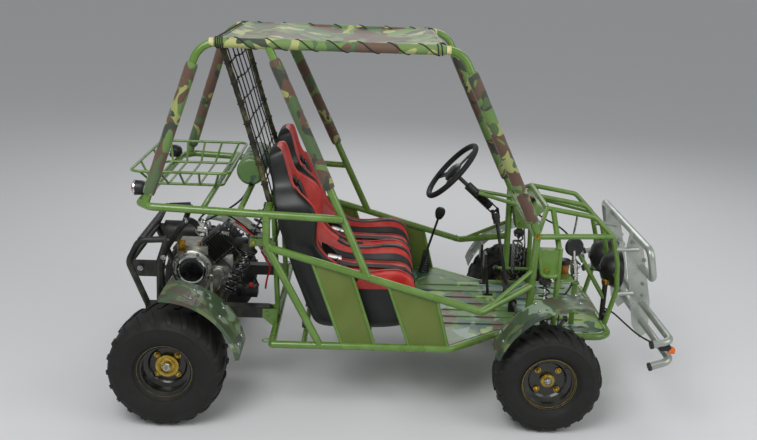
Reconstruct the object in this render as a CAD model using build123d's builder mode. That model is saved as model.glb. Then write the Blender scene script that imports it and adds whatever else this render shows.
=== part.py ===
import os
from math import cos, radians, sin, sqrt

from build123d import *

os.makedirs("parts", exist_ok=True)

# Sizes in millimetres. Places are measured forward from the rear axle, to the
# vehicle's left and up from the ground, and at() moves them to the middle.
wheelbase = 1590
track = 1080
front_reach = 530
side_y = 490
roof_y = 390
nose_y = 318
nose_length = 320

# Tubes, by radius
frame_r = 16
cross_r = 12
hood_r = 11
dash_arm_r = 10
brace_r = 9
edge_r = 7
rack_r = 6
guard_r = 14
bumper_r = 16
sheet = 2
clearance = 0.3

# Heights of the frame's runs
bottom_z = 318
kink_z = 492
upper_z = 887
roof_z = 1560

# Wheels
rear_tyre_r = 245
rear_tyre_w = 240
front_tyre_r = 225
front_tyre_w = 180
rear_rim_w = 178
front_rim_w = 140
lug_depth = 6
lug_count = 22
rim_lip_r = 115.5
rim_seat_r = 102
rim_wall = 3
rim_flat_r = 74
rim_bore = 30
rear_recess = 73
front_recess = 51
bolt_circle_r = 60
bolt_r = 6
axle_r = 16

front_x = wheelbase
mid_x = (wheelbase + front_reach - rear_tyre_r) / 2
wheel_y = track / 2


def at(x, y, z):
    return Vector(x - mid_x, y, z)


def tube(points, radius, bend=0, closed=False):
    """A round bar through the places, with bends where a radius is given."""
    places = [at(*point) for point in points]
    with BuildLine() as path:
        if bend:
            FilletPolyline(*places, radius=bend, close=closed)
        else:
            Polyline(*places)
    with BuildSketch(Plane(origin=path.line @ 0, z_dir=path.line % 0)) as section:
        Circle(radius)
    sweep(section.sketch, path=path.line, transition=Transition.RIGHT)


def rod(start, end, radius, bore=0):
    """A straight round bar between two places, bored where a bore is given."""
    first = at(*start)
    run = at(*end) - first
    with BuildSketch(Plane(origin=first, z_dir=run)) as section:
        Circle(radius)
        if bore:
            Circle(bore, mode=Mode.SUBTRACT)
    extrude(section.sketch, amount=run.length)


def disc(place, axis, radius, length, bore=0, mode=Mode.ADD):
    """A round disc centred on a place, square to an axis."""
    direction = Vector(*axis).normalized()
    start = Plane(origin=at(*place) - direction * (length / 2), z_dir=direction)
    with BuildSketch(start) as section:
        Circle(radius)
        if bore:
            Circle(bore, mode=Mode.SUBTRACT)
    extrude(section.sketch, amount=length, mode=mode)


def side_plate(outline, y, wall, mode=Mode.ADD):
    """A flat plate in the side view: its outline in x and z, y at its middle."""
    with BuildSketch(Plane.XZ.offset(-y - wall / 2)) as section:
        with BuildLine():
            Polyline(*[(x - mid_x, z) for x, z in outline], close=True)
        make_face()
    extrude(section.sketch, amount=wall, mode=mode)


def block(corner, opposite, mode=Mode.ADD):
    """A square block between two opposite corners."""
    first, last = at(*corner), at(*opposite)
    with Locations((first + last) * 0.5):
        Box(*[abs(a - b) for a, b in zip(first, last)], mode=mode)


def between(start, end, share):
    """The place at a share of the way between two others."""
    return tuple(a + (b - a) * share for a, b in zip(start, end))


def at_height(start, end, z):
    """The place at a height on the line between two others."""
    return between(start, end, (z - start[2]) / (end[2] - start[2]))


def far(point):
    return (point[0], -point[1], point[2])


def both_sides(points):
    return [points, [far(point) for point in points]]


def cut_away(*others):
    """The ends of tubes are coped to the pieces that they meet."""
    for other in others:
        add(other.part, mode=Mode.SUBTRACT)


def finish(builder, name):
    builder.part.label = name
    export_step(builder.part, f"parts/{name}.step")


def finish_pair(right, name):
    """The right-hand piece is drawn, and the left-hand one is its mirror."""
    finish(right, name + "_right")
    with BuildPart() as left:
        mirror(right.part, about=Plane.XZ)
    finish(left, name + "_left")
    return left


# Bottom loop, round the nose, with the cross tubes under the seats and floor
rear_cross_x = 425
kink_x = 1182
nose_start_x = 1400
nose_x = front_x + nose_length
seat_cross = [560, 830]
floor_cross = [1060, 1330, front_x - 60, front_x + 60, front_x + 220]
floor_bend = 70

bottom_run = [
    (rear_cross_x, -side_y, bottom_z),
    (kink_x, -side_y, bottom_z),
    (nose_start_x, -nose_y, bottom_z),
    (nose_x, -nose_y, bottom_z),
    (nose_x, nose_y, bottom_z),
    (nose_start_x, nose_y, bottom_z),
    (kink_x, side_y, bottom_z),
    (rear_cross_x, side_y, bottom_z),
]


def half_width(x):
    """Half the width of the bottom loop at a place along it."""
    share = min(max((x - kink_x) / (nose_start_x - kink_x), 0), 1)
    return side_y - (side_y - nose_y) * share


pivot_x = 385
pivot_y = 270
pivot_z = 378
pivot_pin_r = 9
ear = 6
arm_w = 50

with BuildPart() as lower_frame:
    tube(bottom_run, frame_r, floor_bend)
    rod((rear_cross_x, -side_y, bottom_z), (rear_cross_x, side_y, bottom_z), frame_r)
    for x in seat_cross + floor_cross:
        rod((x, -half_width(x), bottom_z), (x, half_width(x), bottom_z), cross_r)
    # Two ears for each side's pivot of the rear arm, on the rear cross tube
    for side in (-1, 1):
        for offset in (-1, 1):
            ear_y = side * pivot_y + offset * (arm_w + ear + 2 * clearance) / 2
            side_plate(
                [
                    (rear_cross_x + 4, bottom_z),
                    (rear_cross_x + 4, pivot_z + 20),
                    (pivot_x - 20, pivot_z + 20),
                    (pivot_x - 20, pivot_z - 20),
                    (rear_cross_x - 14, bottom_z),
                ],
                ear_y,
                ear,
            )
        disc((pivot_x, side * pivot_y, pivot_z), (0, 1, 0), pivot_pin_r, arm_w + 2 * ear + 14)
finish(lower_frame, "lower_frame")

# Upper rail, one tube round the rear, with the cross tubes behind the seats
rail_front = (713, -478, 874)
rail_bend_x = -66
rail_rear_x = -118
rail_rear_z = 908
rail_corner = 54
post_x = 402
tank_cross = [150, 300]
tank_cross_z = rail_rear_z + frame_r - cross_r

rail_run = [
    rail_front,
    (rail_bend_x, -side_y, rail_rear_z),
    (rail_rear_x, -side_y + rail_corner, rail_rear_z),
]

with BuildPart() as upper_rail:
    tube(rail_run + [far(point) for point in reversed(rail_run)], frame_r, 30)
    rod((post_x, -side_y, upper_z), (post_x, side_y, upper_z), frame_r)
    for x in tank_cross:
        rod((x, -side_y, tank_cross_z), (x, side_y, tank_cross_z), cross_r)
finish(upper_rail, "upper_rail")

# Side frame: a post bends into the lower rail, which rises to the front post.
# The edge tubes of the slanted panels are part of it.
post_foot_z = 752
kink_rail_x = 1305
front_post_x = front_x - 58
front_post_foot = (front_post_x, -nose_y, bottom_z)
front_post_top = (front_post_x, -380, 812)
rail_end_z = 566
brace_end_z = 640
diagonal_foot_x = 629

# Panel edges, by their x on the lower rail and on the bottom rail
panels = [
    {"rear_top": 588, "rear_foot": 724, "front_top": 752, "front_foot": 862},
    {"rear_top": 905, "rear_foot": 1008, "front_top": 1112, "front_foot": 1172},
]


def lower_rail_z(x):
    """Height of the lower rail's centre at a place along it."""
    return post_foot_z + (kink_z - post_foot_z) * (x - post_x) / (kink_rail_x - post_x)


with BuildPart() as front_posts:
    for run in both_sides([front_post_foot, front_post_top]):
        rod(*run, frame_r)

# The rail is coped a little wide, as its weld is
with BuildPart() as rail_cope:
    for run in both_sides([front_post_foot, front_post_top]):
        rod(*run, frame_r + clearance)

with BuildPart() as side_frame:
    tube(
        [
            (post_x, -side_y, upper_z),
            (post_x, -side_y, post_foot_z),
            (kink_rail_x, -side_y, kink_z),
            at_height(front_post_foot, front_post_top, rail_end_z),
        ],
        frame_r,
        30,
    )
    rod((post_x + 3, -side_y, post_foot_z), (diagonal_foot_x, -side_y, bottom_z), frame_r)
    brace_end = at_height(front_post_foot, front_post_top, brace_end_z)
    rod((kink_rail_x + 20, -side_y + 12, kink_z + 8), brace_end, brace_r)
    for row in panels:
        for edge in ("rear", "front"):
            top, foot = row[edge + "_top"], row[edge + "_foot"]
            rod((top, -side_y, lower_rail_z(top)), (foot, -side_y, bottom_z), edge_r)
    cut_away(lower_frame, upper_rail, rail_cope)
side_frame_left = finish_pair(side_frame, "side_frame")

# Front frame: posts, hood hoops over the feet, shock towers and dash box
hoop_y = 200
hoop_run = [
    (front_x + 12, -hoop_y, 872),
    (front_x + 228, -hoop_y, 836),
    (front_x + 315, -hoop_y, 750),
    (front_x + 350, -hoop_y, 625),
    (front_x + 360, -hoop_y, 500),
    (nose_x, -hoop_y, bottom_z),
]
hood_bend = 40
hood_cross_z = 560
hood_cross = at_height(hoop_run[3], hoop_run[4], hood_cross_z)
dash_z = 790
brow_z = 795
second_post_top = between(hoop_run[0], hoop_run[1], 0.12)
second_post_knee = (front_x + 52, -350, 713)
second_post_foot = (front_x + 60, -nose_y, bottom_z)
second_post_bend = 60
arm_pin_y = nose_y
arm_pin_z = 400
arm_pin_r = 8
arm_span = 110
tower_z = 640
tower_y = 345
tower_gap = 34
tower_wall = 5
tower_low_z = 612
tower_top_z = 732
tower_rear_x = front_post_x + 14
tower_foot_x = front_x - 18
tower_tube_r = 9
tower_bolt_r = 8
steer_arm = 90
rack_x = front_x - steer_arm
rack_z = 392
column_y = 200

# Steering wheel and the joint at the foot of its shaft; the column's clamp
# lies between the two shares of the way, and two stays from the dash hold it
wheel_centre = (front_x - 375, column_y, 930)
joint_place = (front_x - 154, column_y, 736)
clamp_low, clamp_high = 0.36, 0.60
sleeve_low = between(wheel_centre, joint_place, clamp_low)
sleeve_high = between(wheel_centre, joint_place, clamp_high)
sleeve_r = 21
shaft_r = 10
column_stays = [{"foot": -70, "head": -24}, {"foot": 70, "head": 24}]

with BuildPart() as front_frame:
    add(front_posts.part)
    for run in both_sides([second_post_foot, second_post_knee, second_post_top]):
        tube(run, cross_r, second_post_bend)
    for run in both_sides(hoop_run):
        tube(run, hood_r, hood_bend)
    middle = [(x, 0, z) for x, y, z in hoop_run[:4]]
    tube(middle + [(hood_cross[0], 0, hood_cross_z)], hood_r, hood_bend)
    rod(hood_cross, far(hood_cross), cross_r)
    rod(hoop_run[0], far(hoop_run[0]), cross_r)
    for run in both_sides([at_height(front_post_foot, front_post_top, brow_z), hoop_run[2]]):
        rod(*run, cross_r)
    dash_end = at_height(front_post_foot, front_post_top, dash_z)
    rod(dash_end, far(dash_end), cross_r)
    for run in both_sides([dash_end, hoop_run[0]]):
        rod(*run, dash_arm_r)
    for row in column_stays:
        rod(
            (dash_end[0], column_y + row["foot"], dash_z),
            (sleeve_high[0], column_y + row["head"], sleeve_high[2] + 16),
            brace_r,
        )
    # Shock tower: two plates and a web across the posts, with the shock's bolt
    # and a bent tube round the outer plate
    for side in (-1, 1):
        for offset in (-1, 1):
            side_plate(
                [
                    (tower_rear_x, tower_top_z),
                    (second_post_knee[0], tower_top_z),
                    (second_post_knee[0], tower_low_z),
                    (tower_foot_x, tower_low_z),
                ],
                side * tower_y + offset * tower_gap / 2,
                tower_wall,
            )
        block(
            (front_post_x, side * tower_y - tower_gap / 2, tower_top_z - tower_wall),
            (second_post_knee[0], side * tower_y + tower_gap / 2, tower_top_z),
        )
        rim_y = side * (tower_y + tower_gap / 2)
        tube(
            [
                (tower_rear_x, rim_y, tower_top_z + tower_tube_r),
                (tower_foot_x, rim_y, tower_low_z),
                (second_post_knee[0], rim_y, tower_low_z),
                (second_post_knee[0], rim_y, tower_top_z + tower_tube_r),
            ],
            tower_tube_r,
            22,
        )
        disc((front_x, side * tower_y, tower_z), (0, 1, 0), tower_bolt_r, tower_gap + 22)
        rod(
            (front_x - arm_span - 14, side * arm_pin_y, arm_pin_z),
            (front_x + arm_span + 14, side * arm_pin_y, arm_pin_z),
            arm_pin_r,
        )
    cut_away(lower_frame)
finish(front_frame, "front_frame")

# Sheet panels between their edge tubes
with BuildPart() as side_panels:
    for side in (-1, 1):
        for row in panels:
            side_plate(
                [
                    (row["rear_top"], lower_rail_z(row["rear_top"])),
                    (row["front_top"], lower_rail_z(row["front_top"])),
                    (row["front_foot"], bottom_z),
                    (row["rear_foot"], bottom_z),
                ],
                side * side_y,
                sheet,
            )
    cut_away(side_frame, side_frame_left, lower_frame)
finish(side_panels, "side_panels")

# Floor pan on the cross tubes, with pressed ribs along it
pan_start_x = floor_cross[0]
pan_z = bottom_z + cross_r
pan_inset = frame_r + 0.5
rib_count = 7
rib_pitch = 80
rib_w = 16
rib_h = 5

with BuildPart() as floor_pan:
    with BuildSketch(Plane.XY.offset(pan_z)) as pan_outline:
        with BuildLine():
            Polyline(
                *[
                    (x - mid_x, y)
                    for x, y in [
                        (pan_start_x, -side_y + pan_inset),
                        (kink_x, -side_y + pan_inset),
                        (nose_start_x, -nose_y + pan_inset),
                        (nose_x - pan_inset, -nose_y + pan_inset),
                        (nose_x - pan_inset, nose_y - pan_inset),
                        (nose_start_x, nose_y - pan_inset),
                        (kink_x, side_y - pan_inset),
                        (pan_start_x, side_y - pan_inset),
                    ]
                ],
                close=True,
            )
        make_face()
        front_corners = pan_outline.vertices().group_by(Axis.X)[-1]
        fillet(front_corners, radius=floor_bend - pan_inset)
    extrude(amount=sheet)
    for index in range(rib_count):
        rib_y = (index - (rib_count - 1) / 2) * rib_pitch
        block(
            (pan_start_x + 30, rib_y - rib_w / 2, pan_z + sheet),
            (nose_x - 90, rib_y + rib_w / 2, pan_z + sheet + rib_h),
        )
    cut_away(front_frame, lower_frame)
finish(floor_pan, "floor_pan")

# Roll cage: a hoop each side from the upper rail to the front post, the
# B-pillars down to the lower rail, and three bars across the roof
rear_foot = (-90, -side_y + 14, rail_rear_z)
rear_corner = (130, -roof_y, roof_z)
front_corner = (1167, -roof_y, roof_z)
pillar_top = (396, -roof_y, roof_z)
pillar_foot = (822, -side_y, 631)
rear_bar_x = 205
front_bar_x = 1088
cage_bend = 100

with BuildPart() as roll_cage:
    for side in both_sides([rear_foot, rear_corner, front_corner, front_post_top]):
        tube(side, frame_r, cage_bend)
    for run in both_sides([pillar_top, pillar_foot]):
        rod(*run, frame_r)
    for x in (rear_bar_x, pillar_top[0], front_bar_x):
        rod((x, -roof_y, roof_z), (x, roof_y, roof_z), frame_r)
    cut_away(upper_rail, front_frame, side_frame, side_frame_left)
finish(roll_cage, "roll_cage")

# Foam sleeves on the pillars, by the heights that they cover
pad_r = 26
sleeves = [
    {"foot": rear_foot, "head": rear_corner, "low": 955, "high": 1478},
    {"foot": pillar_foot, "head": pillar_top, "low": 995, "high": 1500},
    {"foot": front_post_top, "head": front_corner, "low": 862, "high": 1472},
]

with BuildPart() as cage_pads:
    for row in sleeves:
        low = at_height(row["foot"], row["head"], row["low"])
        high = at_height(row["foot"], row["head"], row["high"])
        for run in both_sides([low, high]):
            rod(*run, pad_r, frame_r + clearance)
finish(cage_pads, "cage_pads")

# Canopy, wrapped round the roof bars and laced across
wrap_r = 21
canopy_rear_x = 196
canopy_front_x = 1098
cloth = 3

with BuildPart() as roof_canopy:
    for side in (-1, 1):
        rod(
            (canopy_rear_x, side * roof_y, roof_z),
            (canopy_front_x, side * roof_y, roof_z),
            wrap_r,
            frame_r + clearance,
        )
    for x in (rear_bar_x, front_bar_x):
        rod((x, -roof_y + 40, roof_z), (x, roof_y - 40, roof_z), wrap_r, frame_r + clearance)
    block(
        (rear_bar_x, -roof_y, roof_z + frame_r + clearance),
        (front_bar_x, roof_y, roof_z + frame_r + clearance + cloth),
    )
    cut_away(roll_cage)
finish(roof_canopy, "roof_canopy")

# Net behind the seats, from the rear roof bar down to the upper cross tube
net_w = 700
net_cord = 6
net_band = 24
net_columns = 6
net_rows = 9
net_head = (rear_bar_x, 0, roof_z)
net_foot = (post_x, 0, upper_z)
net_run = at(*net_foot) - at(*net_head)
net_length = net_run.length - frame_r - wrap_r + 2
net_plane = Plane(
    origin=at(*net_foot) - net_run.normalized() * (frame_r + net_length / 2),
    x_dir=(0, 1, 0),
    z_dir=net_run.cross(Vector(0, 1, 0)),
)

with BuildPart() as rear_net:
    with BuildSketch(net_plane):
        with GridLocations((net_w - net_band), 0, 2, 1):
            Rectangle(net_band, net_length)
        with GridLocations(net_w / net_columns, 0, net_columns - 1, 1):
            Rectangle(net_cord, net_length)
        with GridLocations(0, net_length / (net_rows + 1), 1, net_rows):
            Rectangle(net_w, net_cord)
    extrude(amount=net_cord / 2, both=True)
    cut_away(roll_cage, roof_canopy, upper_rail)
finish(rear_net, "rear_net")

# Cargo rack: a wide top loop, a narrower slatted floor and sloped stays
rack_floor_z = rail_rear_z + frame_r + rack_r
rack_top_z = 1008
rack_top = {"rear": -188, "front": 225, "y": 312}
rack_floor = {"rear": -150, "front": 185, "y": 205}
stay_count = 5


def loop_run(row, z):
    """The four corners of a loop of the rack."""
    return [
        (row["rear"], -row["y"], z),
        (row["front"], -row["y"], z),
        (row["front"], row["y"], z),
        (row["rear"], row["y"], z),
    ]


with BuildPart() as cargo_rack:
    tube(loop_run(rack_top, rack_top_z), rack_r, 40, True)
    tube(loop_run(rack_floor, rack_floor_z), rack_r, 25, True)
    for index in range(stay_count):
        share = (index + 0.5) / stay_count
        top_x = rack_top["rear"] + share * (rack_top["front"] - rack_top["rear"])
        foot_x = rack_floor["rear"] + share * (rack_floor["front"] - rack_floor["rear"])
        for run in both_sides(
            [(top_x, -rack_top["y"], rack_top_z), (foot_x, -rack_floor["y"], rack_floor_z)]
        ):
            rod(*run, rack_r - 1)
        rod(
            (foot_x, -rack_floor["y"], rack_floor_z),
            (foot_x, rack_floor["y"], rack_floor_z),
            rack_r - 1,
        )
    for end in ("rear", "front"):
        for run in both_sides([(rack_top[end], -120, rack_top_z), (rack_floor[end], -120, rack_floor_z)]):
            rod(*run, rack_r - 1)
    cut_away(upper_rail)
finish(cargo_rack, "cargo_rack")

# Rear arm: two box rails from the pivots to the axle carriers, which also
# carry the engine and the rear guard
arm_h = 50
arm_rear_x = -150
carrier_y = 215
carrier_t = 24
engine_mount_x = (0, 160)

with BuildPart() as swing_arm:
    for side in (-1, 1):
        block(
            (arm_rear_x, side * pivot_y - arm_w / 2, pivot_z - arm_h / 2),
            (pivot_x, side * pivot_y + arm_w / 2, pivot_z + arm_h / 2),
        )
        disc((pivot_x, side * pivot_y, pivot_z), (0, 1, 0), arm_h / 2, arm_w)
        side_plate(
            [(-45, 205), (45, 205), (70, pivot_z - 20), (-70, pivot_z - 20)],
            side * carrier_y,
            carrier_t,
        )
        block(
            (-60, side * carrier_y - carrier_t / 2, pivot_z - arm_h / 2),
            (60, side * pivot_y, pivot_z - 5),
        )
        disc((0, side * carrier_y, rear_tyre_r), (0, 1, 0), 46, carrier_t + 16)
    for x in engine_mount_x:
        rod((x, -pivot_y, pivot_z), (x, pivot_y, pivot_z), cross_r + 4)
    for side in (-1, 1):
        disc((pivot_x, side * pivot_y, pivot_z), (0, 1, 0), pivot_pin_r + clearance, arm_w, 0, Mode.SUBTRACT)
        disc((0, side * carrier_y, rear_tyre_r), (0, 1, 0), axle_r + 0.05, 60, 0, Mode.SUBTRACT)
finish(swing_arm, "swing_arm")

# Rear guard, two bent hoops behind the engine with bars across
guard_y = pivot_y
guard_foot_z = pivot_z + 10
guard_outer = [
    (arm_rear_x + 8, -guard_y, guard_foot_z),
    (-222, -guard_y, 590),
    (-172, -guard_y, 690),
    (-52, -guard_y, 698),
]
guard_inner = [guard_outer[3], (-86, -guard_y, 600), (-92, -guard_y, guard_foot_z)]
guard_bars = [guard_outer[1], guard_outer[2]]
guard_plate_t = 5

with BuildPart() as rear_guard:
    for run in both_sides(guard_outer) + both_sides(guard_inner):
        tube(run, guard_r, 50)
    for x, y, z in guard_bars:
        rod((x + 6, y, z), (x + 6, -y, z), guard_r)
    for side in (-1, 1):
        side_plate([(-208, 525), (-214, 600), (-88, 600), (-90, 525)], side * guard_y, guard_plate_t)
    cut_away(swing_arm)
finish(rear_guard, "rear_guard")

# Engine: crankcase with its round covers, finned barrel and head
crank = (30, -60, 520)
crank_w = 250
crank_r = 92
cover_r = 62
cylinder_lean = 48
barrel_foot = 84
barrel_length = 128
fin_count = 7
fin_w = 128
fin_t = 4
barrel_w = 84

with BuildPart() as engine_case:
    disc(crank, (0, 1, 0), crank_r, crank_w - 60)
    block((-60, crank[1] - 80, pivot_z + 12), (190, crank[1] + 80, 535))
    block((-40, crank[1] - 70, 515), (100, crank[1] + 70, 622))
    disc((crank[0], crank[1] - crank_w / 2 + 28, crank[2]), (0, 1, 0), cover_r, 24)
    disc((crank[0], crank[1] + crank_w / 2 - 28, crank[2]), (0, 1, 0), cover_r, 24)
    fillet(engine_case.edges().filter_by(Axis.Y).group_by(Axis.Z)[0], radius=12)
    cut_away(swing_arm)

lean = radians(cylinder_lean)
barrel_axis = Vector(sin(lean), 0, cos(lean))
barrel_plane = Plane(
    origin=at(*crank) + barrel_axis * barrel_foot,
    x_dir=(0, 1, 0),
    z_dir=barrel_axis,
)

with BuildPart() as engine_cylinder:
    with BuildSketch(barrel_plane):
        RectangleRounded(barrel_w, barrel_w, 20)
    extrude(amount=barrel_length)
    for index in range(fin_count):
        with BuildSketch(barrel_plane.offset(22 + index * 14)):
            RectangleRounded(fin_w, fin_w - 12, 14)
        extrude(amount=fin_t)
    with BuildSketch(barrel_plane.offset(barrel_length)):
        RectangleRounded(fin_w - 16, fin_w - 24, 18)
    extrude(amount=34)
    cut_away(engine_case)
finish(engine_case, "engine_case")
finish(engine_cylinder, "engine_cylinder")

# Carburettor with its inlet, and the thick hose down to the air box
carb = (78, -140, 708)
carb_r = 26
carb_h = 70
inlet_r = 17
intake_hose_r = 14
intake_hose = [
    carb,
    (36, -168, 762),
    (8, -190, 752),
    (-92, -190, 600),
    (-98, -190, 500),
    (-92, -190, 418),
]
with BuildPart() as intake:
    rod((190, -100, 680), carb, inlet_r)
    disc(carb, (0, 0, 1), carb_r, carb_h)
    tube(intake_hose, intake_hose_r, 30)
    cut_away(engine_cylinder, engine_case, swing_arm, rear_guard)
finish(intake, "intake")

# Exhaust from the head down and back to the silencer on the far side
silencer = {"y": 150, "z": 600, "rear": -150, "front": 60, "r": 52}
with BuildPart() as exhaust:
    tube(
        [
            (232, -40, 620),
            (262, 20, 560),
            (230, silencer["y"], 520),
            (silencer["front"] + 60, silencer["y"], silencer["z"]),
            (silencer["front"] - 20, silencer["y"], silencer["z"]),
        ],
        17,
        30,
    )
    rod(
        (silencer["rear"], silencer["y"], silencer["z"]),
        (silencer["front"], silencer["y"], silencer["z"]),
        silencer["r"],
    )
    cut_away(engine_cylinder, engine_case, rear_guard)
finish(exhaust, "exhaust")

# Fuel tank across the two bars behind the seats
tank_r = 62
tank_y = 175
with BuildPart() as fuel_tank:
    tank_x = tank_cross[1]
    tank_z = tank_cross_z + cross_r + tank_r
    rod((tank_x, -tank_y, tank_z), (tank_x, tank_y, tank_z), tank_r)
    fillet(fuel_tank.edges().filter_by(GeomType.CIRCLE), radius=18)
    disc((tank_x, -60, tank_z + tank_r), (0, 0, 1), 24, 22)
    cut_away(upper_rail)
finish(fuel_tank, "fuel_tank")


def coil_over(lower, upper, coil_r, body_r, turns):
    """A shock with its spring drawn as rings, between two eyes."""
    first, last = at(*lower), at(*upper)
    run = last - first
    length = run.length
    base = Plane(origin=first, x_dir=(0, 1, 0), z_dir=run)
    spring_low, spring_high = 0.2 * length, 0.86 * length
    pitch = (spring_high - spring_low) / turns
    with BuildSketch(base.offset(16)) as barrel:
        Circle(body_r)
    extrude(barrel.sketch, amount=length - 32)
    for level in (spring_low - 6, spring_high):
        with BuildSketch(base.offset(level)) as seat:
            Circle(coil_r)
        extrude(seat.sketch, amount=6)
    for index in range(turns):
        with BuildSketch(base.offset(spring_low + (index + 0.5) * pitch - 4)) as ring:
            Circle(coil_r)
            Circle(body_r - 1, mode=Mode.SUBTRACT)
        extrude(ring.sketch, amount=8)
    for place in (lower, upper):
        disc(place, (0, 1, 0), 17, 26)
    for place in (lower, upper):
        disc(place, (0, 1, 0), 8 + clearance, 40, 0, Mode.SUBTRACT)


# Rear shocks, between the rear arm and the inner posts
inner_post_y = 205
rear_shock_low = (185, -pivot_y, pivot_z + arm_h / 2 + 18)
rear_shock_high = (325, -pivot_y, 700)
with BuildPart() as rear_mounts:
    for run in both_sides([(rear_cross_x, -inner_post_y, bottom_z), (post_x, -inner_post_y, upper_z)]):
        rod(*run, cross_r)
    high_post = at_height((rear_cross_x, -inner_post_y, bottom_z), (post_x, -inner_post_y, upper_z), 700)
    high_bar = (high_post[0], -pivot_y - 24, high_post[2])
    rod(high_bar, far(high_bar), cross_r)
    for side in (-1, 1):
        for offset in (-1, 1):
            side_plate(
                [(308, 720), (308, 682), (high_post[0], 690), (high_post[0], 710)],
                side * pivot_y + offset * 17,
                5,
            )
        disc((rear_shock_high[0], side * pivot_y, rear_shock_high[2]), (0, 1, 0), 8, 50)
    cut_away(lower_frame, upper_rail)
finish(rear_mounts, "rear_mounts")

with BuildPart() as rear_shocks:
    for side in (1, -1):
        low = (rear_shock_low[0], side * rear_shock_low[1], rear_shock_low[2])
        high = (rear_shock_high[0], side * rear_shock_high[1], rear_shock_high[2])
        coil_over(low, high, 33, 14, 8)
    cut_away(swing_arm, rear_mounts)
finish(rear_shocks, "rear_shocks")

# Wheels. A rim is one turned profile: the disc, the barrel and both lips.


def rim(centre, side, width, recess, hub_bore):
    """A wheel rim; side is -1 on the right and 1 on the left."""
    outer = centre[1] + side * width / 2
    inner = centre[1] - side * width / 2
    face = outer - side * recess
    back = face - side * rim_wall
    seat_in = rim_seat_r - rim_wall
    profile = [
        (hub_bore, face),
        (rim_flat_r, face),
        (rim_flat_r + 8, face + side * 8),
        (seat_in, face + side * 14),
        (seat_in, outer - side * 14),
        (rim_lip_r - rim_wall, outer - side * 8),
        (rim_lip_r - rim_wall, outer),
        (rim_lip_r, outer),
        (rim_lip_r, outer - side * 11),
        (rim_seat_r, outer - side * 16),
        (rim_seat_r, inner + side * 16),
        (rim_lip_r, inner + side * 11),
        (rim_lip_r, inner),
        (rim_lip_r - rim_wall, inner),
        (rim_lip_r - rim_wall, inner + side * 8),
        (seat_in, inner + side * 14),
        (seat_in, back + side * 12),
        (rim_flat_r + 8, back + side * 4),
        (rim_flat_r, back),
        (hub_bore, back),
    ]
    turned(centre, profile)
    for index in range(4):
        angle = radians(45 + 90 * index)
        place = (
            centre[0] + bolt_circle_r * cos(angle),
            face,
            centre[2] + bolt_circle_r * sin(angle),
        )
        disc(place, (0, 1, 0), bolt_r + clearance, 30, 0, Mode.SUBTRACT)


def turned(centre, profile):
    """A closed profile of radius and y, turned about the wheel's axle."""
    plane = Plane(origin=at(centre[0], 0, centre[2]), x_dir=(0, 0, 1), z_dir=(-1, 0, 0))
    with BuildSketch(plane) as section:
        with BuildLine():
            Polyline(*[(r, y) for r, y in profile], close=True)
        make_face()
    revolve(section.sketch, axis=Axis(at(centre[0], 0, centre[2]), (0, 1, 0)))


def tyre(centre, width, radius):
    """A balloon tyre with blocks round both shoulders."""
    base = radius - lug_depth
    half = width / 2
    lug_half = half * 0.16
    lug_top = sqrt(radius**2 - lug_half**2)
    profile = [
        (rim_lip_r + 0.2, half * 0.80),
        (rim_lip_r + 22, half * 0.97),
        ((rim_lip_r + base) / 2 + 6, half),
        (base - 32, half * 0.93),
        (base - 10, half * 0.76),
        (base, half * 0.45),
    ]
    bead = [(rim_seat_r + 0.2, half * 0.56), (rim_lip_r + 0.2, half * 0.62)]
    top = bead + profile
    outline = [(r, centre[1] + y) for r, y in top] + [
        (r, centre[1] - y) for r, y in reversed(top)
    ]
    turned(centre, outline)
    for index in range(lug_count):
        for side in (-1, 1):
            turn = 360 / lug_count * (index + (0.5 if side > 0 else 0))
            lug_plane = Plane(origin=at(*centre)).rotated((0, turn, 0))
            with BuildSketch(lug_plane) as lug:
                with BuildLine():
                    Polyline(
                        (base - 12, side * half * 0.80),
                        (base + 1, side * half * 0.78),
                        (lug_top, side * half * 0.50),
                        (lug_top, side * half * 0.10),
                        (base - 12, side * half * 0.10),
                        close=True,
                    )
                make_face()
            extrude(lug.sketch, amount=lug_half, both=True)


rear_wheel = (0, -wheel_y, rear_tyre_r)
front_wheel = (front_x, -wheel_y, front_tyre_r)

rear_face_y = -wheel_y - rear_rim_w / 2 + rear_recess
front_face_y = -wheel_y - front_rim_w / 2 + front_recess

for name, centre, width, recess in (
    ("rear_rim", rear_wheel, rear_rim_w, rear_recess),
    ("front_rim", front_wheel, front_rim_w, front_recess),
):
    with BuildPart() as wheel_rim:
        rim(centre, -1, width, recess, rim_bore)
    finish_pair(wheel_rim, name)

for name, centre, width, radius in (
    ("rear_tyre", rear_wheel, rear_tyre_w, rear_tyre_r),
    ("front_tyre", front_wheel, front_tyre_w, front_tyre_r),
):
    with BuildPart() as wheel_tyre:
        tyre(centre, width, radius)
    finish_pair(wheel_tyre, name)

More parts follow.
